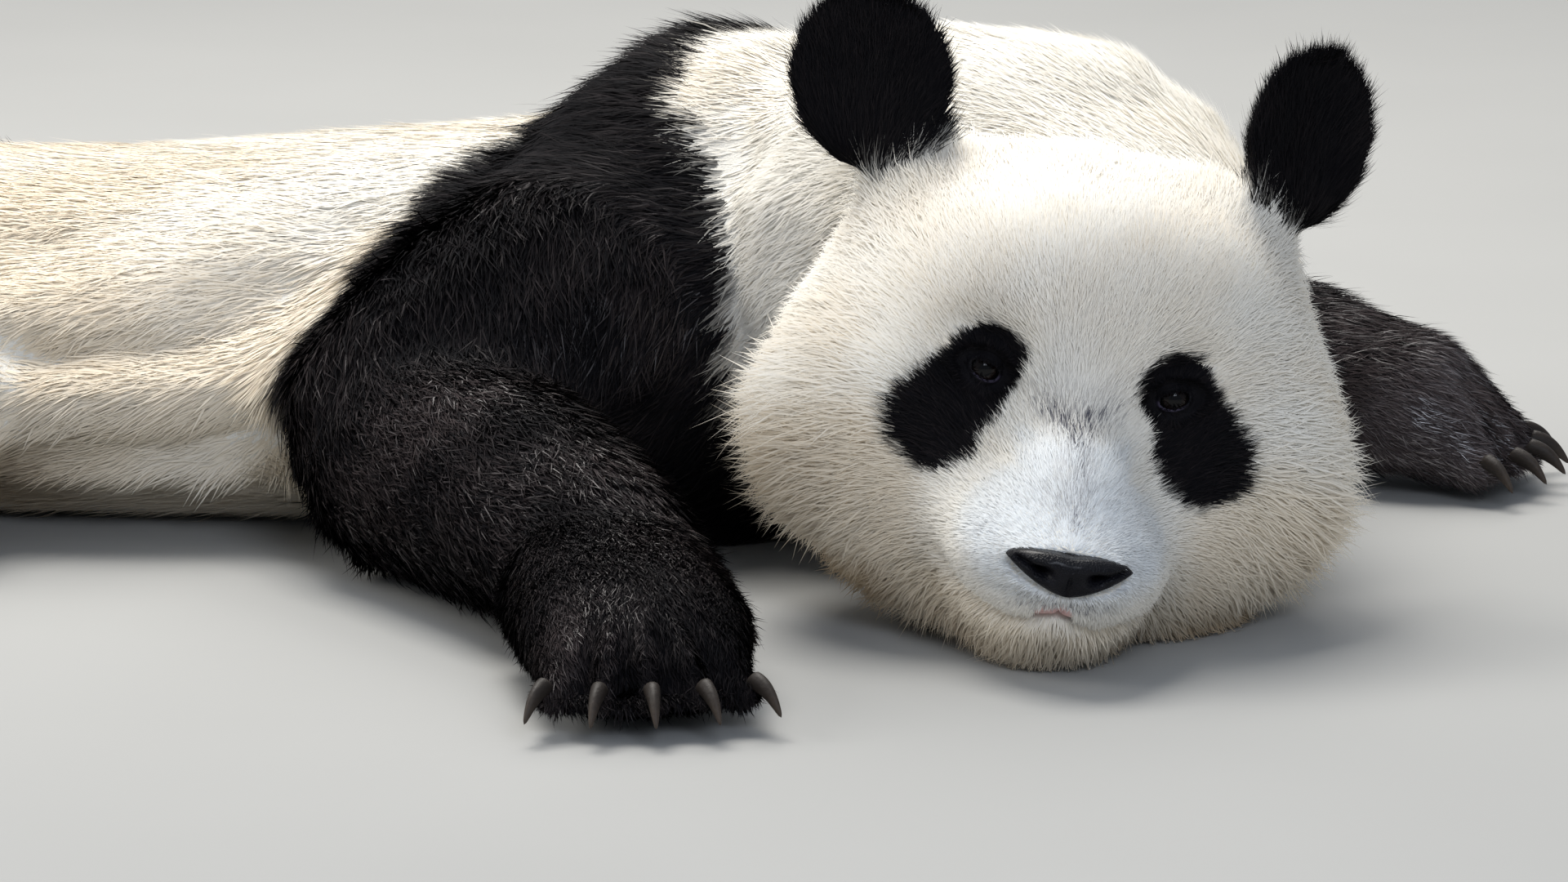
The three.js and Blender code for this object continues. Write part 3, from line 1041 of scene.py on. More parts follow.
CREASES = (
    (24, (Region.HEAD, Region.EAR)),
    (24, (Region.UPPER_ARM,)),
    (30, (Region.TAIL,)),
    (90, (Region.THIGH, Region.SHANK, Region.HIND_FOOT)),
)


@dataclass
class Skin:
    """The hide: one closed surface inside the flesh nodes, with the fields that guide the coat.

    The coat's depths, the head's reach and the parting of its hair are in millimetres, other lengths in metres.
    """

    head: Axes
    body: Body
    face: Face = Face()
    voxel: float = 0.0065
    seam_reach: float = 0.0006
    rounding: int = 7
    floor_gap: float = 0.004
    jowl_depth: float = 13.0
    muzzle_depth: float = 2.8
    beard_depth: float = 9.0
    lid_depth: float = 3.0
    ear_root_depth: float = 6.5
    claw_depth: float = 4.8
    fold_spacing: float = 0.092
    flank_fold: float = 0.022
    neck_fold: float = 0.004
    ear_height: float = 0.075
    ear_swell: float = 0.009
    ear_swell_reach: float = 0.026
    head_reach: float = 260.0
    parting: tuple = (0.0, -112.0, -72.0)
    unwrap_angle: float = 66.0
    island_gap: float = 0.002

    def joined(self) -> bpy.types.Object:
        """Gather the flesh nodes with eyes and nose, each swollen a little to close the seams.

        Returns:
            One loose mesh.
        """
        points, faces, offset = [], [], 0
        for name in self.body.nodes + list(HARD_NODES):
            bm = bmesh.new()
            bm.from_mesh(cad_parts[name].data)
            bmesh.ops.remove_doubles(bm, verts=bm.verts, dist=SAME_PLACE)
            bm.normal_update()
            points += [v.co + v.normal * self.seam_reach for v in bm.verts]
            faces += [[v.index + offset for v in f.verts] for f in bm.faces]
            offset += len(bm.verts)
            bm.free()
        return new_piece("hide", np.array(points), faces)

    def remeshed(self, piece: bpy.types.Object) -> None:
        """Turn the loose mesh into one even surface.

        Args:
            piece: The mesh's object.
        """
        modifier = piece.modifiers.new("weld", "REMESH")
        modifier.mode = "VOXEL"
        modifier.voxel_size = self.voxel
        mesh = bpy.data.meshes.new_from_object(piece.evaluated_get(bpy.context.evaluated_depsgraph_get()))
        piece.modifiers.clear()
        piece.data = mesh

    def coat_depth(self, at: Surface) -> Array:
        """The coat's depth over the surface.

        Args:
            at: Corners of the hide.

        Returns:
            Depths in metres.
        """
        points, normals, node, grain = at
        depth = self.body.measure(node, lambda region: region.depth)
        local = self.head.local(points)
        x, y, z = local.T
        on_head = self.body.within(node, Region.HEAD)
        cheek = np.maximum(ease(75.0, 130.0, np.abs(x)), ease(105.0, 140.0, -z) * ease(-65.0, -15.0, y))
        depth = np.where(on_head, lerp(depth, self.jowl_depth, cheek * ease(-10.0, 30.0, -z)), depth)
        front = on_head * fall(15.0, 80.0, y) * (1 - 0.75 * ease(70.0, 120.0, np.abs(x)))
        brow = 5.2 + 2.0 * ease(10.0, 50.0, z)
        depth = lerp(depth, brow, front * (1 - 0.6 * cheek))
        depth = lerp(depth, self.muzzle_depth, fall(0.7, 1.5, egg(local, (0, -75, -84), (58, 50, 34))))
        beard = on_head * ease(-2.0, 10.0, self.face.mouth_height(x) - z) * fall(0.0, 40.0, y) * (np.abs(x) < 90)
        depth = lerp(depth, self.beard_depth, beard)
        depth = lerp(depth, self.lid_depth, fall(12.0, 30.0, self.face.ring(local)))
        for side in SIDES:
            near_ear = fall(52.0, 78.0, distance(points, middle(f"ear_{side}")) / MM)
            depth = lerp(depth, self.ear_root_depth, near_ear * on_head)
        for foot in FEET:
            depth = lerp(depth, self.claw_depth, fall(12.0, 34.0, Toes(foot).near_claws(points)))
        depth = grain.spread(depth * MM, 20)
        pressed = fall(0.002, 0.010, points[:, 2]) * ease(0.3, 0.8, -normals[:, 2])
        return lerp(depth, self.floor_gap, pressed)

    def folds(self, at: Surface) -> Array:
        """How far the hide sinks in soft folds over flank, shoulder and neck, which fade at tail and thighs.

        Args:
            at: Corners of the hide.

        Returns:
            Depths in metres.
        """
        points, normals, node, grain = at
        torso = self.body.within(node, Region.TRUNK, Region.NECK, Region.SHOULDERS)
        sway = 0.030 * Ripple(0.28, SEED + 20)(points)
        wave = np.sin((points @ [-0.50, 0.10, 0.86] + sway) * 2 * math.pi / self.fold_spacing)
        fade = np.clip(0.75 + 0.6 * Ripple(0.2, SEED + 21)(points), 0, 1)
        fade = fade * ease(0.14, 0.34, distance(points, middle("tail")))
        fade = fade * fall(0.02, 0.35, grain.spread(self.body.within(node, Region.THIGH).astype(float), 45))
        side = fall(0.80, 0.99, np.abs(normals[:, 2]))
        deep = np.where(self.body.within(node, Region.TRUNK), self.flank_fold, self.neck_fold)
        return deep * torso * (0.5 + 0.5 * wave) ** 1.5 * fade * side

    def run_of(self, name: str) -> Array:
        """The main direction of the hair on a node.

        Args:
            name: The node's name.

        Returns:
            A vector of any length.
        """
        stem, _, side = name.rpartition("_")
        claws = {"forepaw": f"claw_fore_{side}_3", "hind_foot": f"claw_hind_{side}_3"}
        onward = {"upper_arm": "forearm", "forearm": "forepaw", "shank": "hind_foot"}
        back = {"head": "shoulders", "neck": "trunk", "shoulders": "trunk", "trunk": "tail"}
        if stem in claws:
            return middle(claws[stem]) - middle(name)
        if stem in onward:
            return middle(f"{onward[stem]}_{side}") - middle(name)
        if name in back:
            return middle(back[name]) - middle(name)
        if stem == "thigh":
            return self.run_of("trunk")
        return np.array([-0.3, 0.0, -1.0])

    def flow(self, at: Surface) -> Array:
        """The lie of the coat: which way its hair runs.

        Args:
            at: Corners of the hide.

        Returns:
            Directions of length one, flat on the hide.
        """
        points, normals, node, grain = at
        flow = np.array([unit(self.run_of(name)) for name in self.body.nodes])[node]
        torso = self.body.within(node, Region.TRUNK, Region.NECK, Region.SHOULDERS, Region.THIGH)
        flow[:, 2] -= 0.75 * torso * (1 - np.abs(normals[:, 2]))
        local = self.head.local(points)
        on_head = self.body.within(node, Region.HEAD)
        away = unit(self.head.turn(local - self.parting))
        away[:, 2] -= 0.45 * ease(60.0, 120.0, np.abs(local[:, 0])) + 0.5 * ease(90.0, 130.0, -local[:, 2])
        flow = np.where(on_head[:, None], unit(away), flow)
        for side in SIDES:
            mine = self.body.on(node, f"ear_{side}")
            base = middle(f"ear_{side}") - self.ear_height * self.head.rows[2]
            flow[mine] = unit(points[mine] - base)
        ears = self.body.within(node, Region.EAR)
        flow = lerp(grain.spread(flow, 14), flow, 0.6 * ears[:, None])
        rear = self.body.within(node, Region.TRUNK, Region.THIGH, Region.TAIL)
        flow = grain.spread(flow, 40, 0.5 * rear[:, None])
        eye = np.sign(local[:, :1]) * [self.face.eye_apart, 0.0, 0.0]
        from_eye = unit(self.head.turn(local - eye))
        near_eye = fall(11.0, 26.0, self.face.ring(local))
        return tangent(lerp(unit(flow), from_eye, near_eye[:, None]), normals)

    def refine(self, piece: bpy.types.Object, wanted: Callable[[Array], Array]) -> None:
        """Halve the edges of the surface where wanted says so, and even out what that leaves.

        Args:
            piece: The hide.
            wanted: Takes points in metres and says which are in the finer area.
        """
        inside = wanted(corners(piece.data))
        bm = bmesh.new()
        bm.from_mesh(piece.data)
        bm.verts.ensure_lookup_table()
        chosen = [e for e in bm.edges if inside[e.verts[0].index] and inside[e.verts[1].index]]
        bmesh.ops.subdivide_edges(bm, edges=chosen, cuts=1, use_grid_fill=True)
        bm.to_mesh(piece.data)
        bm.free()
        points = corners(piece.data)
        smooth = Grain(piece.data).spread(points, 3, 0.5 * wanted(points)[:, None])
        self.move(piece, smooth)

    def move(self, piece: bpy.types.Object, points: Array) -> None:
        """Put the hide's corners at new places."""
        piece.data.vertices.foreach_set("co", points.ravel())
        piece.data.update()

    def unwrap(self, piece: bpy.types.Object) -> None:
        """Unwrap the hide's own shape into the map that the coat shares.

        Args:
            piece: The hide.
        """
        bpy.context.view_layer.objects.active = piece
        piece.select_set(True)
        bpy.ops.object.mode_set(mode="EDIT")
        bpy.ops.mesh.select_all(action="SELECT")
        bpy.ops.uv.smart_project(angle_limit=math.radians(self.unwrap_angle), island_margin=self.island_gap)
        bpy.ops.object.mode_set(mode="OBJECT")
        piece.select_set(False)
        piece.data.uv_layers[0].name = "OFBake"

    def keep_detail(self, points: Array) -> Array:
        """How much each point may be smoothed: little on feet and ears, fully elsewhere."""
        return 0.12 + 0.38 * ease(45.0, 90.0, np.minimum(from_claws(points), from_ears(points)))

    def soften(self, points: Array, grain: Grain, rounds: int, part: tuple) -> Array:
        """Fill the crease where a part meets the rest of the body.

        Args:
            points: The hide's corners.
            grain: Their neighbourhoods.
            rounds: How often they are evened out, which also sets how wide the crease is.
            part: The regions on one side of it.

        Returns:
            The corners' new places.
        """
        share = grain.spread(self.body.within(self.body.nearest(points), *part).astype(float), rounds // 2)
        return grain.spread(points, rounds, (2 * share * (1 - share))[:, None])

    def ear_roots(self, points: Array) -> Array:
        """How far the hide swells where the ears join the head.

        Args:
            points: The hide's corners.

        Returns:
            Heights in metres.
        """
        swell = np.zeros(len(points))
        for side in SIDES:
            root = lerp(middle(f"ear_{side}"), self.head.world([0, 95, 10]), 0.36)
            swell += self.ear_swell * bell(distance(points, root), self.ear_swell_reach)
        return swell

    def build(self) -> bpy.types.Object:
        """Make the hide and paint its fields.

        Returns:
            The hide, which replaces every flesh node.
        """
        piece = self.joined()
        self.remeshed(piece)
        grain = Grain(piece.data)
        points = corners(piece.data)
        points = grain.spread(points, self.rounding, self.keep_detail(points)[:, None])
        for rounds, part in CREASES:
            points = self.soften(points, grain, rounds, part)
        self.move(piece, points)
        normals = unit(grain.spread(vertex_normals(piece.data), 2))
        at = Surface(points, normals, self.body.nearest(points), grain)
        sink = self.coat_depth(at) + grain.spread(self.folds(at), 5)
        points = points - normals * (sink - self.ear_roots(points))[:, None]
        points = grain.spread(points, 2, self.keep_detail(points)[:, None])
        points[:, 2] = np.maximum(points[:, 2], self.floor_gap)
        self.move(piece, points)
        self.unwrap(piece)
        self.refine(piece, self.coarse_area)
        for area in (self.face.fine_area, self.face.finest_area):
            self.refine(piece, lambda points, area=area: area(self.head.local(points)))
        self.carve(piece)
        piece.data.shade_smooth()
        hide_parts(*self.body.nodes)
        SkinFinish().material().dress(piece)
        return piece

    def coarse_area(self, points: Array) -> Array:
        """The area of the face and the feet.

        Args:
            points: Points in metres.

        Returns:
            Which of them are in it.
        """
        x, y, z = self.head.local(points).T
        face = (y < 30) & (np.abs(x) < 150) & (np.abs(z) < 190)
        return face | (from_claws(points) < 85)

    def carve(self, piece: bpy.types.Object) -> None:
        """Carve toes, lids and mouth, and paint the fields.

        Args:
            piece: The hide.
        """
        points, normals = corners(piece.data), vertex_normals(piece.data)
        points = points - normals * furrows(points, normals)[:, None] * MM
        local, marks = self.face.sculpt(self.head.local(points), normals @ self.head.rows.T)
        near = np.linalg.norm(self.head.local(points), axis=1) < self.head_reach
        self.move(piece, np.where(near[:, None], self.head.world(local), points))
        self.paint(piece, {name: values * near for name, values in marks.items()})

    def paint(self, piece: bpy.types.Object, marks: dict[str, Array]) -> None:
        """Store the fields that the hide's material and the coat read.

        Args:
            piece: The hide.
            marks: The fields of the face.
        """
        points, normals, grain = corners(piece.data), vertex_normals(piece.data), Grain(piece.data)
        node = self.body.nearest(points)
        at = Surface(points, normals, node, grain)
        depth, flow = self.coat_depth(at), self.flow(at)
        reach = points + flow * depth[:, None]
        markings = Markings(self.head, self.body)
        black, tips = markings.black(points, grain), markings.black(reach, grain)
        # Toe furrows get less gloss: duller there, and the rusty tint and the painted sheen stay off them, so they
        # stay darker.
        dull = 1 - 0.8 * furrows(points, normals) / Toes.furrow
        hind = self.body.within(node, Region.THIGH, Region.SHANK, Region.HIND_FOOT, Region.TAIL)
        marks |= {
            "black": black,
            "tip_black": np.where(markings.on_crown(points, node), np.minimum(black, tips), tips),
            "warm": markings.warm(reach, node),
            "ashy": markings.ashy(reach, node),
            "depth": depth,
            "shag": self.shag(points, node),
            "gloss": markings.gloss(at) * dull,
            "hind": hind.astype(float),
            "flow": flow,
            "node": node,
        }
        for name, values in marks.items():
            paint_field(piece.data, name, values)

    def shag(self, points: Array, node: Array) -> Array:
        """How shaggy the coat hangs: at cheeks, jaw, ears and tail.

        Args:
            points: The hide's corners.
            node: Their node numbers.

        Returns:
            0 for sleek to over 1 for shaggy.
        """
        local = self.head.local(points)
        side = ease(95.0, 140.0, np.abs(local[:, 0])) * ease(-20.0, 40.0, -local[:, 2])
        jaw = 1.25 * ease(105.0, 135.0, -local[:, 2])
        ruff = 0.55 * bell(from_ears(points) - 60.0, 14.0)
        shag = np.max([side, jaw, ruff], axis=0)
        shag = self.body.within(node, Region.HEAD) * shag + 0.9 * self.body.within(node, Region.EAR)
        return shag + 0.6 * self.body.within(node, Region.TAIL)


# ---------------------------------------------------------------- the coat


CELL_PRIMES = (73856093, 19349663, 83492791)
ROOT_FIELDS = ("tip_black", "warm", "ashy", "gloss", "chance")
TUFT_FIELDS = ("black", "warm", "ashy", "gloss", "chance", "along")
HIDE_FIELDS = ("tip_black", "warm", "ashy", "gloss", "depth", "lid", "lip", "seam", "shag", "hind")
AREAS = {
    "head": ("fur_white", (Region.HEAD,)),
    "neck": ("fur_white", (Region.NECK,)),
    "back": ("fur_white", (Region.TRUNK, Region.TAIL)),
    "yoke": ("fur_black", (Region.SHOULDERS, Region.UPPER_ARM)),
    "ears": ("fur_black", (Region.EAR,)),
    "forelegs": ("fur_black", (Region.FOREARM, Region.FOREPAW)),
    "hind_legs": ("fur_black", (Region.THIGH, Region.SHANK, Region.HIND_FOOT)),
}


@dataclass(frozen=True)
class Strand:
    """One cut of tuft: points at a share of its length and of its half width, and the triangles between them."""

    places: tuple
    faces: tuple
    breadth: float
    reach: float
    lift: tuple

    @staticmethod
    def guard() -> "Strand":
        """A tapered blade of three triangles that rises out of the undercoat."""
        places = ((0.0, -0.7), (0.0, 0.7), (0.5, -1.0), (0.5, 1.0), (1.0, 0.0))
        return Strand(places, ((0, 3, 1), (0, 2, 3), (2, 4, 3)), 1.0, 1.0, (0.30, 0.95))

    @staticmethod
    def under() -> "Strand":
        """A broad flat wisp of one triangle that lies close to the hide."""
        return Strand(((0.0, -1.0), (0.0, 1.0), (1.0, 0.0)), ((0, 2, 1),), 2.6, 0.80, (0.26, 0.60))


@dataclass
class Roots:
    """The places where tufts grow, with the hide's fields there."""

    points: Array
    normals: Array
    flow: Array
    uv: Array
    fields: dict

    def __getitem__(self, chosen: Array) -> "Roots":
        """The chosen roots."""
        kept = {name: values[chosen] for name, values in self.fields.items()}
        return Roots(self.points[chosen], self.normals[chosen], self.flow[chosen], self.uv[chosen], kept)

    def __len__(self) -> int:
        """How many roots there are."""
        return len(self.points)


@dataclass(frozen=True)
class Cut:
    """The coat's measures against its depth.

    Depth, length and width are in millimetres, and the area that one tuft answers for is in square millimetres.
    Gather is a share of the way to a lock's middle, and stray an angle in radians.
    """

    depth: tuple = (2.5, 5.0, 8.0, 11.0, 13.0)
    length: tuple = (5.0, 11.5, 19.0, 27.0, 33.0)
    width: tuple = (0.42, 0.56, 0.72, 0.88, 1.05)
    area: tuple = (0.31, 0.50, 0.95, 1.68, 2.5)
    gather: tuple = (0.05, 0.12, 0.22, 0.30, 0.34)
    stray: tuple = (0.10, 0.12, 0.15, 0.16, 0.15)

    def at(self, depth: Array, measure: tuple) -> Array:
        """A measure where the coat is that many metres deep."""
        return np.interp(depth / MM, self.depth, measure)


@dataclass
class Coat:
    """The fur: many solid tufts over the hide, in pieces by part of the body. Metres."""

    body: Body
    hide: bpy.types.Object
    cut: Cut = Cut()
    most_triangles: int = 188_000
    under_share: float = 0.68
    wild_share: float = 0.05
    length_spread: tuple = (0.72, 1.18)
    width_spread: tuple = (0.7, 1.3)
    roll_spread: tuple = (0.07, 0.34)
    bend_spread: float = 0.12
    patch: float = 0.003
    lock: float = 0.010
    hank: float = 0.028
    buried: float = 0.0006
    off_floor: float = 0.0008
    seed: int = SEED

    def field(self, name: str, width: int = 1, kind: type = float) -> Array:
        """A painted field of the hide."""
        return read(self.hide.data.attributes[name].data, "value" if width == 1 else "vector", width, kind)

    def rate(self, fields: dict, points: Array, normals: Array) -> Array:
        """How densely tufts grow: many where the coat is short, few where it is pressed on the floor.

        Args:
            fields: The hide's painted fields.
            points: Its corners.
            normals: Which way it faces there.

        Returns:
            Tufts for each square metre.
        """
        wanted = 1.0 / (self.cut.at(fields["depth"], self.cut.area) * MM * MM)
        pressed = fall(0.006, 0.03, points[:, 2]) * ease(0.2, 0.7, -normals[:, 2])
        bare = np.maximum(ease(0.3, 0.7, fields["lid"]), 0.8 * fields["seam"])
        wanted = wanted * np.where(fields["hind"] > 0.5, 0.66, 1.0)
        return wanted * (1 - 0.92 * pressed) * (1 - bare) * fall(0.15, 0.55, fields["lip"])

    def sample(self) -> Roots:
        """Scatter roots over the hide.

        Returns:
            The roots, with the hide's fields at each.
        """
        mesh = self.hide.data
        mesh.calc_loop_triangles()
        triangles = read(mesh.loop_triangles, "vertices", 3, int)
        loops = read(mesh.loop_triangles, "loops", 3, int)
        points, normals = corners(mesh), vertex_normals(mesh)
        fields = {name: self.field(name) for name in HIDE_FIELDS}
        a, b, c = (points[triangles[:, k]] for k in range(3))
        area = np.linalg.norm(np.cross(b - a, c - a), axis=1) / 2
        expected = area * self.rate(fields, points, normals)[triangles].mean(axis=1)
        count = len(triangles)
        draw = np.random.default_rng(self.seed)
        chosen = np.repeat(np.arange(count), np.floor(expected + draw.random(count)).astype(int))
        u, v = draw.random(len(chosen)), draw.random(len(chosen))
        u, v = np.where(u + v > 1, 1 - u, u), np.where(u + v > 1, 1 - v, v)
        weights = np.stack([1 - u - v, u, v], axis=1)

        def blended(values: Array, corner: Array) -> Array:
            """Values at the roots.

            Args:
                values: The mesh's values.
                corner: Which of them belong to each triangle's three corners.

            Returns:
                The values between the corners of the root's own triangle.
            """
            shape = (len(chosen), 3) + (1,) * (values.ndim - 1)
            return (values[corner[chosen]] * weights.reshape(shape)).sum(axis=1)

        found = {name: blended(values, triangles) for name, values in fields.items()}
        found["node"] = self.field("node", kind=int)[triangles[chosen, 0]]
        found["chance"] = draw.random(len(chosen))
        normal = unit(blended(normals, triangles))
        lie = tangent(blended(self.field("flow", 3), triangles), normal)
        uv = read(mesh.uv_layers["OFBake"].data, "uv", 2)
        return Roots(blended(points, triangles), normal, lie, blended(uv, loops), found)

    def to_middle(self, roots: Roots, size: float) -> Array:
        """How far each root lies from the middle of its lock, in the plane of the hide.

        Args:
            roots: The roots.
            size: The size of a lock in metres.

        Returns:
            Vectors to the locks' middles.
        """
        wander = np.stack([Ripple(3 * size, self.seed + k)(roots.points) for k in range(3)], axis=1)
        cells = np.floor((roots.points + 0.4 * size * wander) / size).astype(np.int64)
        facing = (roots.normals > 0).astype(np.int64)
        key = (cells * CELL_PRIMES).sum(axis=1) * 8 + facing @ [1, 2, 4]
        _, lock = np.unique(key, return_inverse=True)
        share = np.bincount(lock)
        centre = np.stack([np.bincount(lock, roots.points[:, k]) / share for k in range(3)], axis=1)
        shift = centre[lock] - roots.points
        return shift - roots.normals * dot(shift, roots.normals)[:, None]

    def sizes(self, roots: Roots, strand: Strand, draw: np.random.Generator) -> tuple[Array, Array, Array]:
        """Draw how big the tufts are.

        Args:
            roots: Where they stand.
            strand: Their cut.
            draw: Their piece's own draw.

        Returns:
            Their lengths, their widths and how high their tips rise, in metres.
        """
        count, depth, shag = len(roots), roots.fields["depth"], roots.fields["shag"]
        black, swell = roots.fields["tip_black"], Ripple(0.05, self.seed + 8)(roots.points)
        length = self.cut.at(depth, self.cut.length) * MM * strand.reach * draw.uniform(*self.length_spread, count)
        length = length * (1 + 0.12 * swell) * (1 + (0.4 + 0.5 * draw.random(count)) * shag)
        width = self.cut.at(depth, self.cut.width) * MM * strand.breadth * draw.uniform(*self.width_spread, count)
        width = width * (1 - 0.22 * shag)
        lift = depth * draw.uniform(*strand.lift, count)
        lift = lift * (1 + 0.20 * Ripple(0.028, self.seed + 9)(roots.points)) * (1 + 0.6 * shag)
        lift = lift * (1 - 0.56 * (1 - black) * (1 - shag) * ease(0.009, 0.012, depth))
        wild = draw.random(count) < self.wild_share
        return length, width * np.where(wild, 0.6, 1.0), lift * np.where(wild, 1.6, 1.0)

    def bearings(self, roots: Roots, sheer: Array, draw: np.random.Generator) -> tuple[Array, ...]:
        """Draw which way the tufts run and how they roll.

        Args:
            roots: Where they stand.
            sheer: How loosely they roll, 0 to 1.
            draw: Their piece's own draw.

        Returns:
            Directions along each tuft, beside it on the hide, across its blade and out of its face.
        """
        count, stray = len(roots), self.cut.at(roots.fields["depth"], self.cut.stray)
        turn = stray * (draw.normal(size=count) + 1.1 * Ripple(0.045, self.seed + 7)(roots.points))
        run = turned(roots.flow, np.cross(roots.normals, roots.flow), turn)
        side = np.cross(roots.normals, run)
        steady, loose = self.roll_spread
        roll = draw.normal(0.0, steady, count) + draw.normal(0.0, loose, count) * sheer
        return run, side, turned(side, roots.normals, roll), turned(roots.normals, -side, roll)

    def shape(self, roots: Roots, strand: Strand, seed: int) -> tuple[Array, Array]:
        """Lay out the tufts.

        Args:
            roots: Where they stand.
            strand: Their cut.
            seed: Seed of this piece's own draw.

        Returns:
            The points and the normals of every tuft.
        """
        draw = np.random.default_rng(seed)
        depth, shag, black = (roots.fields[name] for name in ("depth", "shag", "tip_black"))
        length, width, lift = self.sizes(roots, strand, draw)
        sheer = black * ease(0.0055, 0.009, depth)
        run, side, flat, face = self.bearings(roots, sheer, draw)
        gather = (self.cut.at(depth, self.cut.gather) * (0.40 + 0.7 * black + 0.6 * shag))[:, None]
        pull = self.to_middle(roots, self.lock) * gather + self.to_middle(roots, self.hank) * gather * 0.30
        bend = draw.normal(0.0, self.bend_spread, len(roots)) * length
        relief = (0.08 + 0.24 * sheer)[:, None]
        points = np.empty((len(roots), len(strand.places), 3), np.float32)
        normals = np.empty_like(points)
        for k, (share, lateral) in enumerate(strand.places):
            rise = lift * (1 - (1 - share) ** 1.7) - self.buried
            offset = run * (share * length)[:, None] + roots.normals * rise[:, None]
            offset = offset + pull * share**1.4 + side * (bend * share * share)[:, None]
            points[:, k] = roots.points + offset + flat * (width * lateral / 2)[:, None]
            lean = face * relief + flat * (relief * 1.2 * lateral) + run * 0.12 * share
            normals[:, k] = unit(roots.normals + lean)
        points[..., 2] = np.maximum(points[..., 2], self.off_floor)
        return points, normals

    def grow(self, name: str, roots: Roots, seed: int) -> bpy.types.Object:
        """Make one piece of the coat, guard blades over undercoat.

        Args:
            name: The piece's name.
            roots: Where its tufts stand.
            seed: Seed of its own draw.

        Returns:
            The piece.
        """
        under = (roots.fields["chance"] * 97.0) % 1.0 < self.under_share
        parts, offset = [], 0
        for strand, mine in ((Strand.under(), under), (Strand.guard(), ~under)):
            chosen = roots[mine]
            parts.append(self.lay(chosen, strand, seed + len(parts), offset))
            offset += len(chosen) * len(strand.places)
        points, normals, index, uv, numbers = (np.concatenate(arrays) for arrays in zip(*parts))
        piece = self.mesh_piece(name, points, index)
        for key, values in zip(TUFT_FIELDS, numbers.T):
            paint_field(piece.data, key, values)
        layer = piece.data.uv_layers.new(name="OFBake")
        layer.data.foreach_set("uv", uv[index.ravel()].astype(np.float32).ravel())
        piece.data.shade_smooth()
        piece.data.normals_split_custom_set_from_vertices(normals)
        return piece

    def lay(self, roots: Roots, strand: Strand, seed: int, offset: int) -> tuple[Array, ...]:
        """Lay out tufts of one cut.

        Args:
            roots: Where they stand.
            strand: Their cut.
            seed: Seed of their draw.
            offset: How many points come before theirs in the piece.

        Returns:
            Points, normals, triangles, places on the unwrap, and the painted numbers in columns.
        """
        points, normals = self.shape(roots, strand, seed)
        places, count = np.array(strand.places), len(roots)
        index = (np.arange(count)[:, None, None] * len(places) + np.array(strand.faces)).reshape(-1, 3) + offset
        spot = np.stack([places[:, 1] * 0.5, places[:, 0] - 0.5], axis=1) * self.patch
        uv = (roots.uv[:, None, :] + spot[None]).reshape(-1, 2)
        painted = [np.repeat(roots.fields[key], len(places)) for key in ROOT_FIELDS]
        painted.append(np.tile(places[:, 0], count))
        return points.reshape(-1, 3), normals.reshape(-1, 3), index, uv, np.stack(painted, axis=1)

    def mesh_piece(self, name: str, points: Array, index: Array) -> bpy.types.Object:
        """A triangle mesh from arrays, riding on the body.

        Args:
            name: The piece's name.
            points: Its corners.
            index: Its triangles.

        Returns:
            The piece.
        """
        mesh = bpy.data.meshes.new(name)
        mesh.vertices.add(len(points))
        mesh.vertices.foreach_set("co", points.ravel())
        mesh.loops.add(index.size)
        mesh.loops.foreach_set("vertex_index", index.astype(np.int32).ravel())
        mesh.polygons.add(len(index))
        mesh.polygons.foreach_set("loop_start", np.arange(0, index.size, 3, dtype=np.int32))
        mesh.update(calc_edges=True)
        piece = add_object(name, mesh)
        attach(piece, BODY)
        return piece

    def build(self) -> None:
        """Grow every piece of the coat."""
        roots = self.sample()
        material, total = FurFinish().material(), 0
        each = self.under_share + (1 - self.under_share) * len(Strand.guard().faces)
        for label, (slot, regions) in AREAS.items():
            chosen = np.flatnonzero(self.body.within(roots.fields["node"], *regions))
            parts = max(1, math.ceil(len(chosen) * each / self.most_triangles))
            order = np.argsort(roots.points[chosen, 0], kind="stable")
            for number, share in enumerate(np.array_split(chosen[order], parts), 1):
                piece = self.grow(f"coat_{label}_{number}", roots[share], self.seed + total)
                material.dress(piece)
                total += len(piece.data.polygons)
                log.info("%s: %d triangles", piece.name, len(piece.data.polygons))
        log.info("coat: %d triangles", total)


# ---------------------------------------------------------------- eyes, nose and claws


def weld(piece: bpy.types.Object) -> None:
    """Join a piece's coinciding corners and turn its faces outward.

    Args:
        piece: The piece.
    """
    bm = bmesh.new()
    bm.from_mesh(piece.data)
    bmesh.ops.remove_doubles(bm, verts=bm.verts, dist=SAME_PLACE)
    bmesh.ops.recalc_face_normals(bm, faces=bm.faces)
    bm.to_mesh(piece.data)
    bm.free()
    piece.data.shade_smooth()


def tube_faces(rings: int, turns: int, first: int = 0) -> list[tuple]:
    """The faces between rings of points.

    Args:
        rings: How many rings there are.
        turns: How many points each has.
        first: The number of the first point.

    Returns:
        Faces of four corners.
    """
    faces = []
    for ring in range(rings - 1):
        for turn in range(turns):
            a, b = ring * turns + turn + first, ring * turns + (turn + 1) % turns + first
            faces.append((a, b, b + turns, a + turns))
    return faces


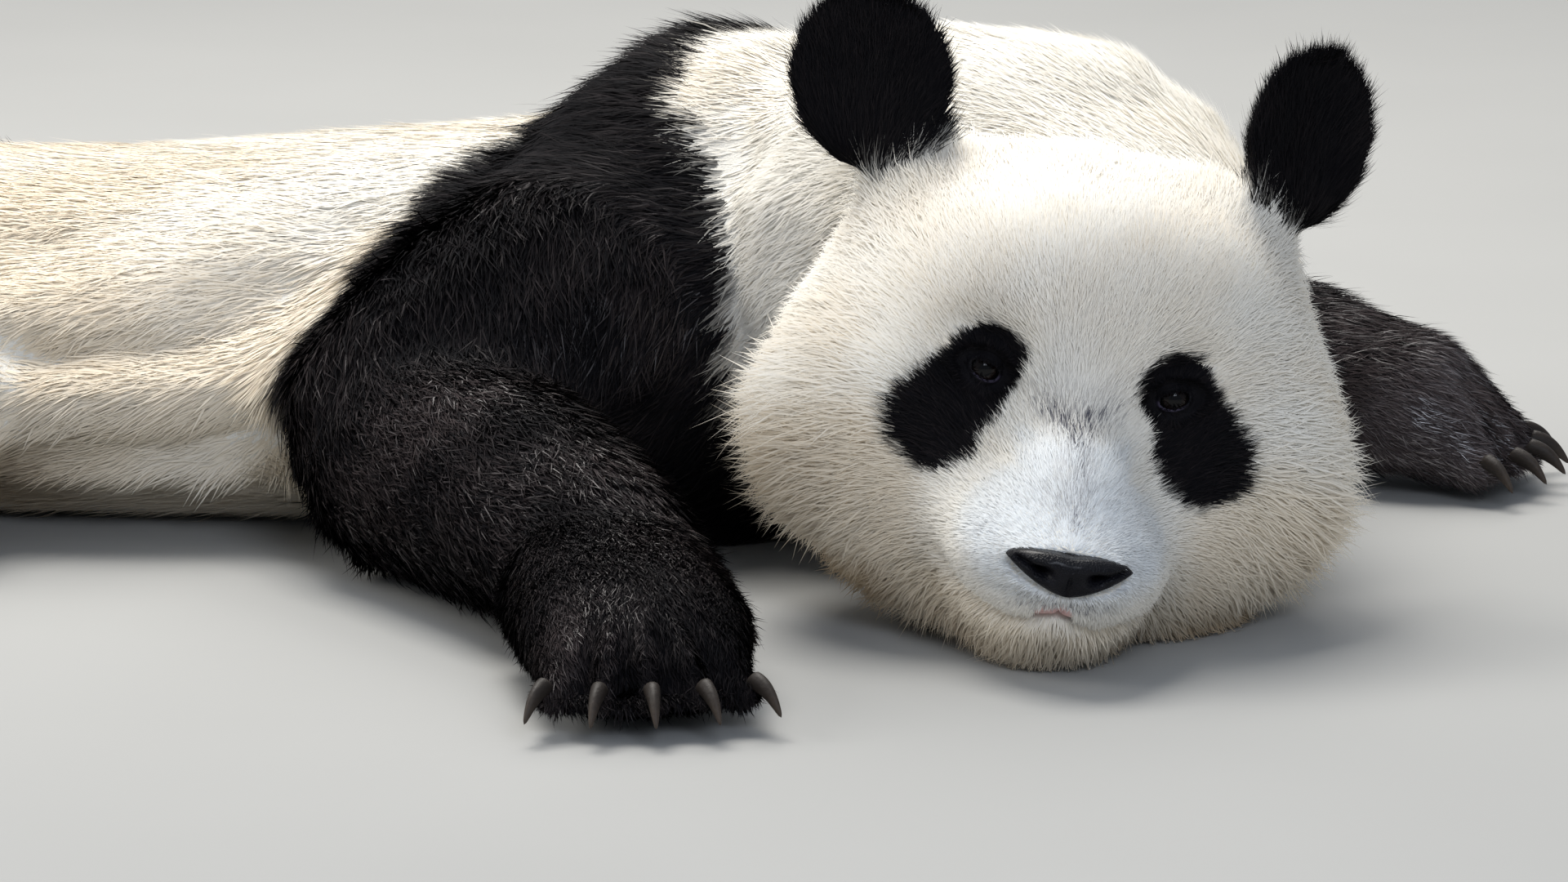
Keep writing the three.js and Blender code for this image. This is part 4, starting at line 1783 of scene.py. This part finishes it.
@dataclass
class Eyeball:
    """One eye: a smooth ball with a slightly raised cornea, looking straight ahead."""

    head: Axes
    side: str
    rings: int = 36
    turns: int = 48
    bulge: float = 0.02

    def build(self) -> bpy.types.Object:
        """Make the eye in its node's place.

        Returns:
            The eyeball.
        """
        low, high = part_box(f"eye_{self.side}")
        radius, centre = max(high - low) / 2, middle(f"eye_{self.side}")
        angle = np.linspace(0, math.pi, self.rings)[:, None]
        spin = circle(self.turns)[None, :]
        across, ahead = np.sin(angle), -np.cos(angle) + 0 * spin
        ways = np.stack([across * np.cos(spin), ahead, across * np.sin(spin)], axis=2)
        swell = radius * (1 + self.bulge * bell(angle, 0.5))
        points = centre + self.head.turn(ways * swell[..., None]).reshape(-1, 3)
        piece = new_piece(f"eyeball_{self.side}", points, tube_faces(self.rings, self.turns))
        weld(piece)
        ahead = (corners(piece.data) - centre) @ -self.head.rows[1]
        paint_field(piece.data, "gaze", np.arccos(np.clip(ahead / radius, -1, 1)) / (math.pi / 2))
        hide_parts(f"eye_{self.side}")
        EyeFinish().material().dress(piece)
        return piece


@dataclass
class NosePad:
    """The bare nose: broad and flat above, a blunt point below, with comma-shaped nostrils. Millimetres."""

    head: Axes
    half_width: float = 35.0
    above: float = 8.0
    below: float = 15.5
    dome: float = 6.5
    wrap: float = 16.0
    bow: float = 0.0085
    tilt: float = 10.0
    at: tuple = (0.0, -107.5, -83.0)
    rings: int = 40
    turns: int = 120

    def outline(self) -> tuple[Array, Array]:
        """The pad's edge.

        Returns:
            Its places across and its heights.
        """
        spin = circle(self.turns)
        x = np.abs(np.cos(spin))
        top = self.above * (1 - x**3.4) ** 0.8 - 1.0 * bell(x, 0.2)
        foot = -self.below * (1 - x**1.5) ** 0.9
        return self.half_width * np.cos(spin), np.where(np.sin(spin) >= 0, top, foot)

    def relief(self, x: Array, z: Array) -> Array:
        """How far the surface sinks at nostrils and cleft.

        Args:
            x: Places across the pad.
            z: Heights on it.

        Returns:
            Depths.
        """
        far = np.abs(x)
        hole = bell(far - 14.5, 5.0) * bell(z + 3.2, 3.4)
        along = np.clip((far - 15.0) / 15.0, 0.0, 1.0)
        slit = bell(z + 2.6 - 4.2 * along, 1.7) * ease(11.0, 15.0, far) * fall(28.0, 33.0, far)
        wing = bell(z - 2.6 - 2.0 * along, 2.4) * ease(8.0, 14.0, far) * fall(26.0, 34.0, far)
        cleft = bell(x, 1.3) * ease(0.0, 6.0, -z)
        return 8.5 * hole + 4.5 * slit - 1.2 * wing + 2.0 * cleft

    def build(self) -> bpy.types.Object:
        """Make the pad in its node's place.

        Returns:
            The pad.
        """
        edge_x, edge_z = self.outline()
        rows = []
        for ring in np.linspace(0.0, 1.4, self.rings):
            out, back = min(ring, 1.0), max(0.0, ring - 1.0) / 0.4
            x, z = edge_x * out * (1 - 0.12 * back), -1.5 + (edge_z + 1.5) * out * (1 - 0.12 * back)
            y = self.bow * x * x - self.dome * math.sqrt(1 - out**2.4) + self.wrap * back
            y = y + self.relief(x, z) * fall(0.80, 1.0, out)
            rows.append(np.stack([x, y, z], axis=1))
        local, turn = np.concatenate(rows), math.radians(self.tilt)
        lean = np.array([[1, 0, 0], [0, math.cos(turn), math.sin(turn)], [0, -math.sin(turn), math.cos(turn)]])
        points = self.head.world(local @ lean + np.array(self.at))
        piece = new_piece("nose_pad", points, tube_faces(self.rings, self.turns))
        paint_field(piece.data, "ridge", ease(3.0, 7.5, local[:, 2]))
        weld(piece)
        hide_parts("nose")
        NoseFinish().material().dress(piece)
        return piece


@dataclass
class Claws:
    """The five claws of one foot: curved horns with a blunt keel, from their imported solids' roots to their tips."""

    foot: str
    half_width: float = 0.0045
    half_height: float = 0.0060
    buried: float = 0.009
    arch: float = 0.0035
    worn: float = 0.80
    rings: int = 18
    turns: int = 14

    def horn(self, name: str) -> Array:
        """The rings of points of one claw.

        Args:
            name: The claw's node.

        Returns:
            The points, ring by ring from root to tip.
        """
        points, heel = corners(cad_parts[name].data), middle(FEET[self.foot])
        away = np.linalg.norm((points - heel)[:, :2], axis=1)
        tip = points[np.argmax(away)]
        root = points[away < away.min() + 0.25 * (away.max() - away.min())].mean(axis=0)
        ahead, tip = unit(tip - root), lerp(root, tip, self.worn)
        root = root - ahead * self.buried
        side = unit(np.cross([0, 0, 1], ahead))
        up = np.cross(ahead, side)
        share = np.linspace(0, 1, self.rings)[:, None, None]
        spin = circle(self.turns)[None, :, None]
        taper = np.sqrt(np.maximum(1 - share**1.7, 0.0)) * (1 - 0.35 * share)
        spine = root + (tip - root) * share + up * self.arch * np.sin(math.pi * share**0.9)
        ring = side * np.cos(spin) * self.half_width + up * np.sin(spin) * self.half_height
        return (spine + ring * taper).reshape(-1, 3)

    def build(self, finish: Paint) -> bpy.types.Object:
        """Make the claws in their nodes' places.

        Args:
            finish: The claws' material.

        Returns:
            The five claws as one piece.
        """
        names = [f"claw_{self.foot}_{number}" for number in range(1, 6)]
        size = self.rings * self.turns
        points = np.concatenate([self.horn(name) for name in names])
        faces = [face for k in range(len(names)) for face in tube_faces(self.rings, self.turns, k * size)]
        for k in range(len(names)):
            faces.append(tuple(k * size + turn for turn in reversed(range(self.turns))))
        piece = new_piece(f"claws_{self.foot}", points, faces)
        along = np.repeat(np.linspace(0, 1, self.rings), self.turns)
        paint_field(piece.data, "along", np.tile(along, len(names)))
        weld(piece)
        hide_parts(*names)
        finish.dress(piece)
        return piece


# ---------------------------------------------------------------- floor, light and camera


@dataclass(frozen=True)
class Lamp:
    """A square soft lamp: its place and side in metres, its power in watts and its colour."""

    name: str
    at: tuple
    size: float
    power: float
    colour: Colour = (1.0, 0.97, 0.92)

    def hang(self, facing: tuple) -> None:
        """Add the lamp to the scene.

        Args:
            facing: The place that it faces.
        """
        light = bpy.data.lights.new(self.name, "AREA")
        light.size, light.energy, light.color = self.size, self.power, self.colour
        lamp = add_object(self.name, light)
        lamp.location = self.at
        lamp.rotation_euler = (Vector(facing) - Vector(self.at)).to_track_quat("-Z", "Y").to_euler()


@dataclass
class Studio:
    """A pale floor, soft lamps and the camera. Metres, with the sensor in millimetres and the elevation in degrees."""

    head: Axes
    distance: float = 4.0
    elevation: float = 11.0
    frame_width: float = 0.858
    aim: tuple = (1327.0, 466.0)
    picture: tuple = (1920.0, 1080.0)
    sensor: float = 36.0
    farthest: float = 100.0
    floor_size: float = 14.0
    facing: tuple = (0.15, -0.1, 0.15)
    sky: tuple = (0.80, 0.88, 1.0, 1.0)
    sky_strength: float = 0.34
    lamps: tuple = (
        Lamp("key", (-0.6, 0.6, 3.3), 1.8, 122.0),
        Lamp("side", (-2.8, -0.3, 1.9), 1.6, 38.0),
        Lamp("fill", (0.9, -3.2, 1.8), 1.1, 35.0, (0.80, 0.87, 1.0)),
        Lamp("back", (0.3, 2.4, 3.0), 2.4, 72.0),
    )

    def camera(self) -> None:
        """Place the camera so that the point between the eyes falls at the aim."""
        pitch = math.radians(self.elevation)
        look = np.array([0.0, math.cos(pitch), -math.sin(pitch)])
        data = bpy.data.cameras.new("camera")
        data.sensor_width = self.sensor
        data.lens = data.sensor_width * self.distance / self.frame_width
        data.clip_end = self.farthest
        camera = add_object("camera", data)
        focal = self.picture[0] * self.distance / self.frame_width
        yaw = math.atan((self.aim[0] - self.picture[0] / 2) / focal)
        nod = math.atan((self.picture[1] / 2 - self.aim[1]) / focal)
        place = self.head.origin - look * self.distance
        turn = Matrix.Rotation(yaw, 3, "Z") @ Matrix.Rotation(math.pi / 2 - pitch - nod, 3, "X")
        camera.matrix_world = Matrix.Translation(Vector(place)) @ turn.to_4x4()
        bpy.context.scene.camera = camera

    def build(self) -> None:
        """Make floor, lamps, surroundings and camera."""
        half = self.floor_size / 2
        mesh = bpy.data.meshes.new("floor")
        mesh.from_pydata([(-half, -half, 0), (half, -half, 0), (half, half, 0), (-half, half, 0)], [], [(0, 1, 2, 3)])
        floor = add_object("floor", mesh)
        FloorFinish().material().dress(floor)
        world = bpy.data.worlds.new("studio")
        world.use_nodes = True
        sky = world.node_tree.nodes["Background"]
        sky.inputs["Color"].default_value = self.sky
        sky.inputs["Strength"].default_value = self.sky_strength
        bpy.context.scene.world = world
        for lamp in self.lamps:
            lamp.hang(self.facing)
        bpy.context.scene.view_settings.view_transform = "Standard"
        self.camera()


def main() -> None:
    """Build the animal piece by piece, then the studio."""
    logging.basicConfig(level=logging.INFO, format="%(name)s: %(message)s")
    head, body = head_axes(), Body()
    hide = Skin(head, body).build()
    log.info("hide: %d faces", len(hide.data.polygons))
    Coat(body, hide).build()
    for side in SIDES:
        log.info("%s", Eyeball(head, side).build().name)
    log.info("%s", NosePad(head).build().name)
    horn = ClawFinish().material()
    for foot in FEET:
        log.info("%s", Claws(foot).build(horn).name)
    Studio(head).build()


if __name__ == "__main__":
    main()
